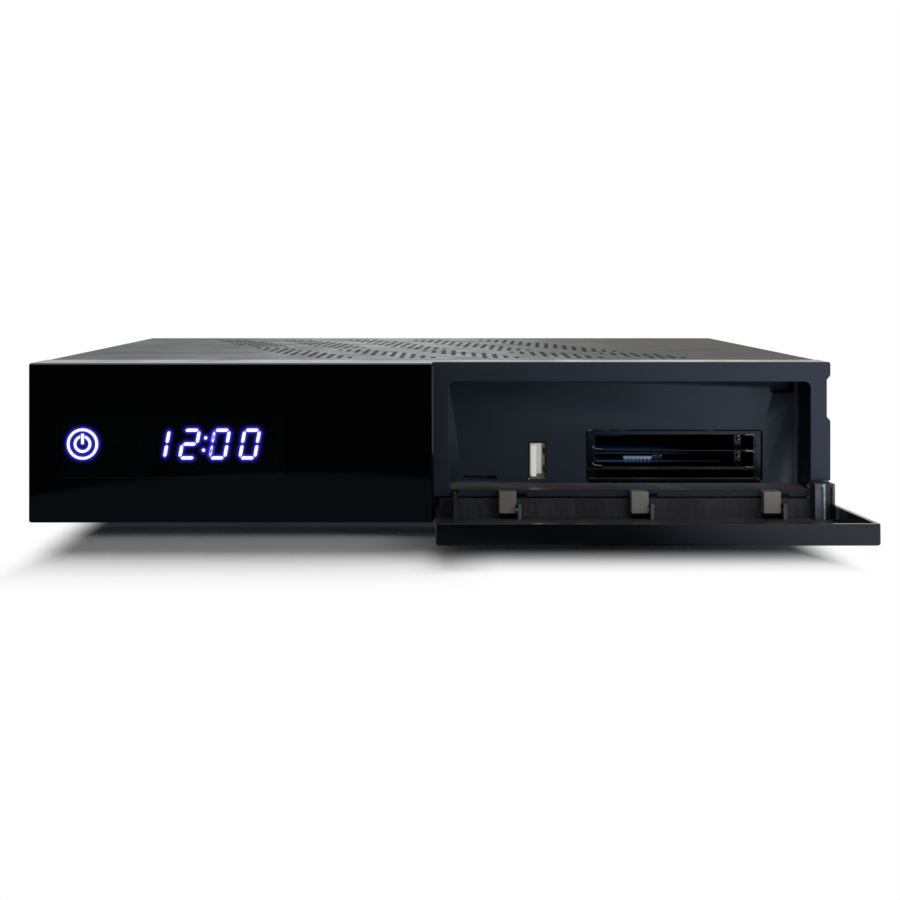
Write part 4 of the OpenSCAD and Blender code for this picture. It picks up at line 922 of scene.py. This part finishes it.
contacts = bmesh.new()
usb_mid = (usb_low.z + usb_high.z) / 2
for i in range(4):
    z = usb_mid + (i - 1.5) * 2.4
    block(contacts, (usb_low.x + 2.5, usb_low.y + 1.8, z - 0.5), (usb_low.x + 2.72, usb_low.y + 11, z + 0.5))
as_piece(contacts, "usb_contacts", gold, soft=0.05)

springs = bmesh.new()
for z in (usb_mid - 3.1, usb_mid + 3.1):
    wire(springs, [(usb_high.x - 0.45, usb_low.y + 1.0, z), (usb_high.x - 0.95, usb_low.y + 3.2, z),
                   (usb_high.x - 0.5, usb_low.y + 8.0, z)], 0.2, sides=6)
    block(springs, (usb_high.x - 0.75, usb_low.y + 1.2, z - 1.1),
          (usb_high.x - 0.5, usb_low.y + 7.5, z + 1.1))
as_piece(springs, "usb_springs", usb_nickel, soft=0.05)

# %% Memory card slot
as_piece(copy_of("memory_card_socket"), "memory_card_shell", tin_plate, soft=0.12,
         stands_for=["memory_card_socket"])

# %% [markdown]
# ## Rear sockets
# The photograph never shows the rear, so these are the usual sockets of such a receiver. The aerial sockets
# get a real thread profile, turned in one go from a zigzag outline, which catches light in a way that a
# plain cylinder can't.

# %% Aerial sockets
THREAD_PITCH = 1.06
THREAD_LENGTH = 10.0
for number in range(1, 5):
    name = f"aerial_socket_{number}"
    low, high = span_mm(name)
    middle = (low + high) / 2
    major = (high.x - low.x) / 2
    profile = [(major - 0.2, low.y)]
    turns = int(THREAD_LENGTH / THREAD_PITCH)
    start = high.y - THREAD_LENGTH
    profile += [(major - 0.2, start)]
    for i in range(turns):
        base = start + 0.15 + i * THREAD_PITCH
        profile += [(major - 0.42, base), (major, base + 0.4), (major, base + 0.66)]
    profile += [(major - 0.45, high.y - 0.35), (major - 0.8, high.y), (3.3, high.y), (3.1, high.y - 0.5)]
    shell = bmesh.new()
    turned(shell, profile + [(3.1, high.y - 8.0), (0, high.y - 8.0)], (middle.x, 0, middle.z))
    as_piece(shell, f"aerial_thread_{number}", nickel, stands_for=[name])
    core = bmesh.new()
    turned(core, [(3.1, high.y - 0.7), (0.95, high.y - 0.7), (0.75, high.y - 0.9), (0.7, high.y - 4)],
           (middle.x, 0, middle.z), steps=32)
    as_piece(core, f"aerial_insulator_{number}", white_plastic)
as_piece(copy_of("aerial_nuts"), "aerial_lock_nuts", nickel, soft=0.3, stands_for=["aerial_nuts"])

# %% Plastic and plated sockets
for name, new_name, material, slot, width in [
    ("hdmi_output", "video_socket_out", nickel, "nickel", 0.15),
    ("hdmi_input", "video_socket_in", nickel, "nickel", 0.15),
    ("network_socket", "network_jack", black_plastic, "black_plastic", 0.2),
    ("rear_usb_sockets", "rear_usb_shell", nickel, "nickel", 0.15),
    ("rear_usb_tongues", "rear_usb_insulators", blue_plastic, "blue_plastic", 0.12),
    ("optical_output", "optical_jack", black_plastic, "black_plastic", 0.2),
    ("audio_socket", "audio_jack", black_plastic, "black_plastic", 0.2),
    ("dc_socket", "power_inlet", black_plastic, "black_plastic", 0.2),
    ("power_switch_housing", "switch_frame", black_plastic, "black_plastic", 0.25),
]:
    as_piece(copy_of(name), new_name, material, soft=width, stands_for=[name])
as_piece(copy_of("power_rocker"), "switch_rocker", black_plastic, "rocker", soft=0.3,
         segments=3, stands_for=["power_rocker"])
as_piece(copy_of("optical_shutter"), "optical_flap", black_plastic, "shutter", soft=0.12,
         stands_for=["optical_shutter"])

# %% Rear contacts
rear_contacts = bmesh.new()
net_low, net_high = span_mm("network_socket")
net_x = (net_low.x + net_high.x) / 2
for i in range(8):
    x = net_x + (i - 3.5) * 1.02
    wire(rear_contacts, [(x, net_high.y - 2.4, net_low.z + 11.6), (x, net_high.y - 6, net_low.z + 9.4),
                         (x, net_high.y - 12.6, net_low.z + 7.6)], 0.2, sides=6)
for low, high in (span_mm("hdmi_output"), span_mm("hdmi_input")):
    x = (low.x + high.x) / 2
    for i in range(10):
        block(rear_contacts, (x - 4.8 + i, high.y - 8, high.z - 2.28),
              (x - 4.35 + i, high.y - 2.2, high.z - 2.12))
usb_rear_low, usb_rear_high = span_mm("rear_usb_tongues")
for z in (usb_rear_low.z, usb_rear_high.z - 1.8):
    for i in range(4):
        x = (usb_rear_low.x + usb_rear_high.x) / 2 + (i - 1.5) * 2.4
        block(rear_contacts, (x - 0.5, usb_rear_high.y - 9, z - 0.08),
              (x + 0.5, usb_rear_high.y - 0.9, z + 0.06))
as_piece(rear_contacts, "rear_contacts", gold)

inlet_low, inlet_high = span_mm("dc_socket")
inlet = bmesh.new()
turned(inlet, [(0, inlet_high.y - 1.0), (0.75, inlet_high.y - 1.15), (1.1, inlet_high.y - 1.6),
               (1.1, inlet_high.y - 9.6)], ((inlet_low.x + inlet_high.x) / 2, 0, inlet_low.z + 6.2), steps=32)
as_piece(inlet, "power_inlet_pin", nickel)
audio_low, audio_high = span_mm("audio_socket")
ring = bmesh.new()
turned(ring, [(1.95, audio_high.y - 0.02), (2.1, audio_high.y), (2.9, audio_high.y),
              (3.0, audio_high.y - 0.12), (3.0, audio_high.y - 0.5)],
       ((audio_low.x + audio_high.x) / 2, 0, audio_low.z + 4.8))
as_piece(ring, "audio_ring", gold)

# %% [markdown]
# ## Inside
# Vents, card slots and socket gaps show glimpses of the boards. Those nodes keep their shapes and take
# finishes that hold up at that distance, with pins on the chips and a raised rim on each capacitor's top.

# %% Carried-over nodes
carried = {
    zinc: ["bottom_chassis"],
    rear_paint: ["rear_panel"],
    cover_paint: ["top_cover"],
    board_green: ["front_board", "main_board"],
    black_plastic: ["clock_display", "infrared_receiver", "processor", "memory_chips", "module_connectors"],
    white_plastic: ["ribbon_cable"],
    brass: ["board_standoffs"],
    bright_steel: ["board_screws", "front_board_screws", "bezel_screws", "clock_battery", "door_hinge_pins",
                   "door_catch_plate"],
    black_steel: ["cover_screws"],
    aluminium: ["heat_sink"],
    sleeve_blue: ["capacitors"],
    tin_plate: ["tuner_main", "tuner_second", "cage_shield"],
    magnet: ["door_catch_magnet"],
}
for material, names in carried.items():
    for name in names:
        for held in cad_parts[name].material_slots:
            held.material = material

# %% Capacitor tops and chip legs
tops = bmesh.new()
legs = bmesh.new()
islands = copy_of("capacitors")
for face in islands.faces:
    if face.normal.z > 0.9:
        centre = face.calc_center_median()
        radius = max((v.co - centre).length for v in face.verts) / MM
        middle = (centre.x / MM, (centre.y - FACE_Y) / MM)
        top = centre.z / MM
        turned(tops, [(0, top + 0.05), (radius * 0.8, top + 0.05), (radius * 0.86, top + 0.25),
                      (radius * 0.98, top + 0.2), (radius, top - 0.2)], (*middle, 0), "Z", 24)
islands.free()
as_piece(tops, "capacitor_tops", aluminium)
chip_low = span_mm("memory_chips")[0]
for row in range(4):
    y = chip_low.y + 5 + row * 15
    for i in range(12):
        x = chip_low.x + 0.6 + i * 0.98
        for side in (-1, 1):
            block(legs, (x, y + side * 5.6 - 0.5, chip_low.z + 0.02),
                  (x + 0.35, y + side * 5.6 + 0.5, chip_low.z + 0.2))
as_piece(legs, "chip_legs", bright_steel)
print("pieces made:", len(made_pieces))
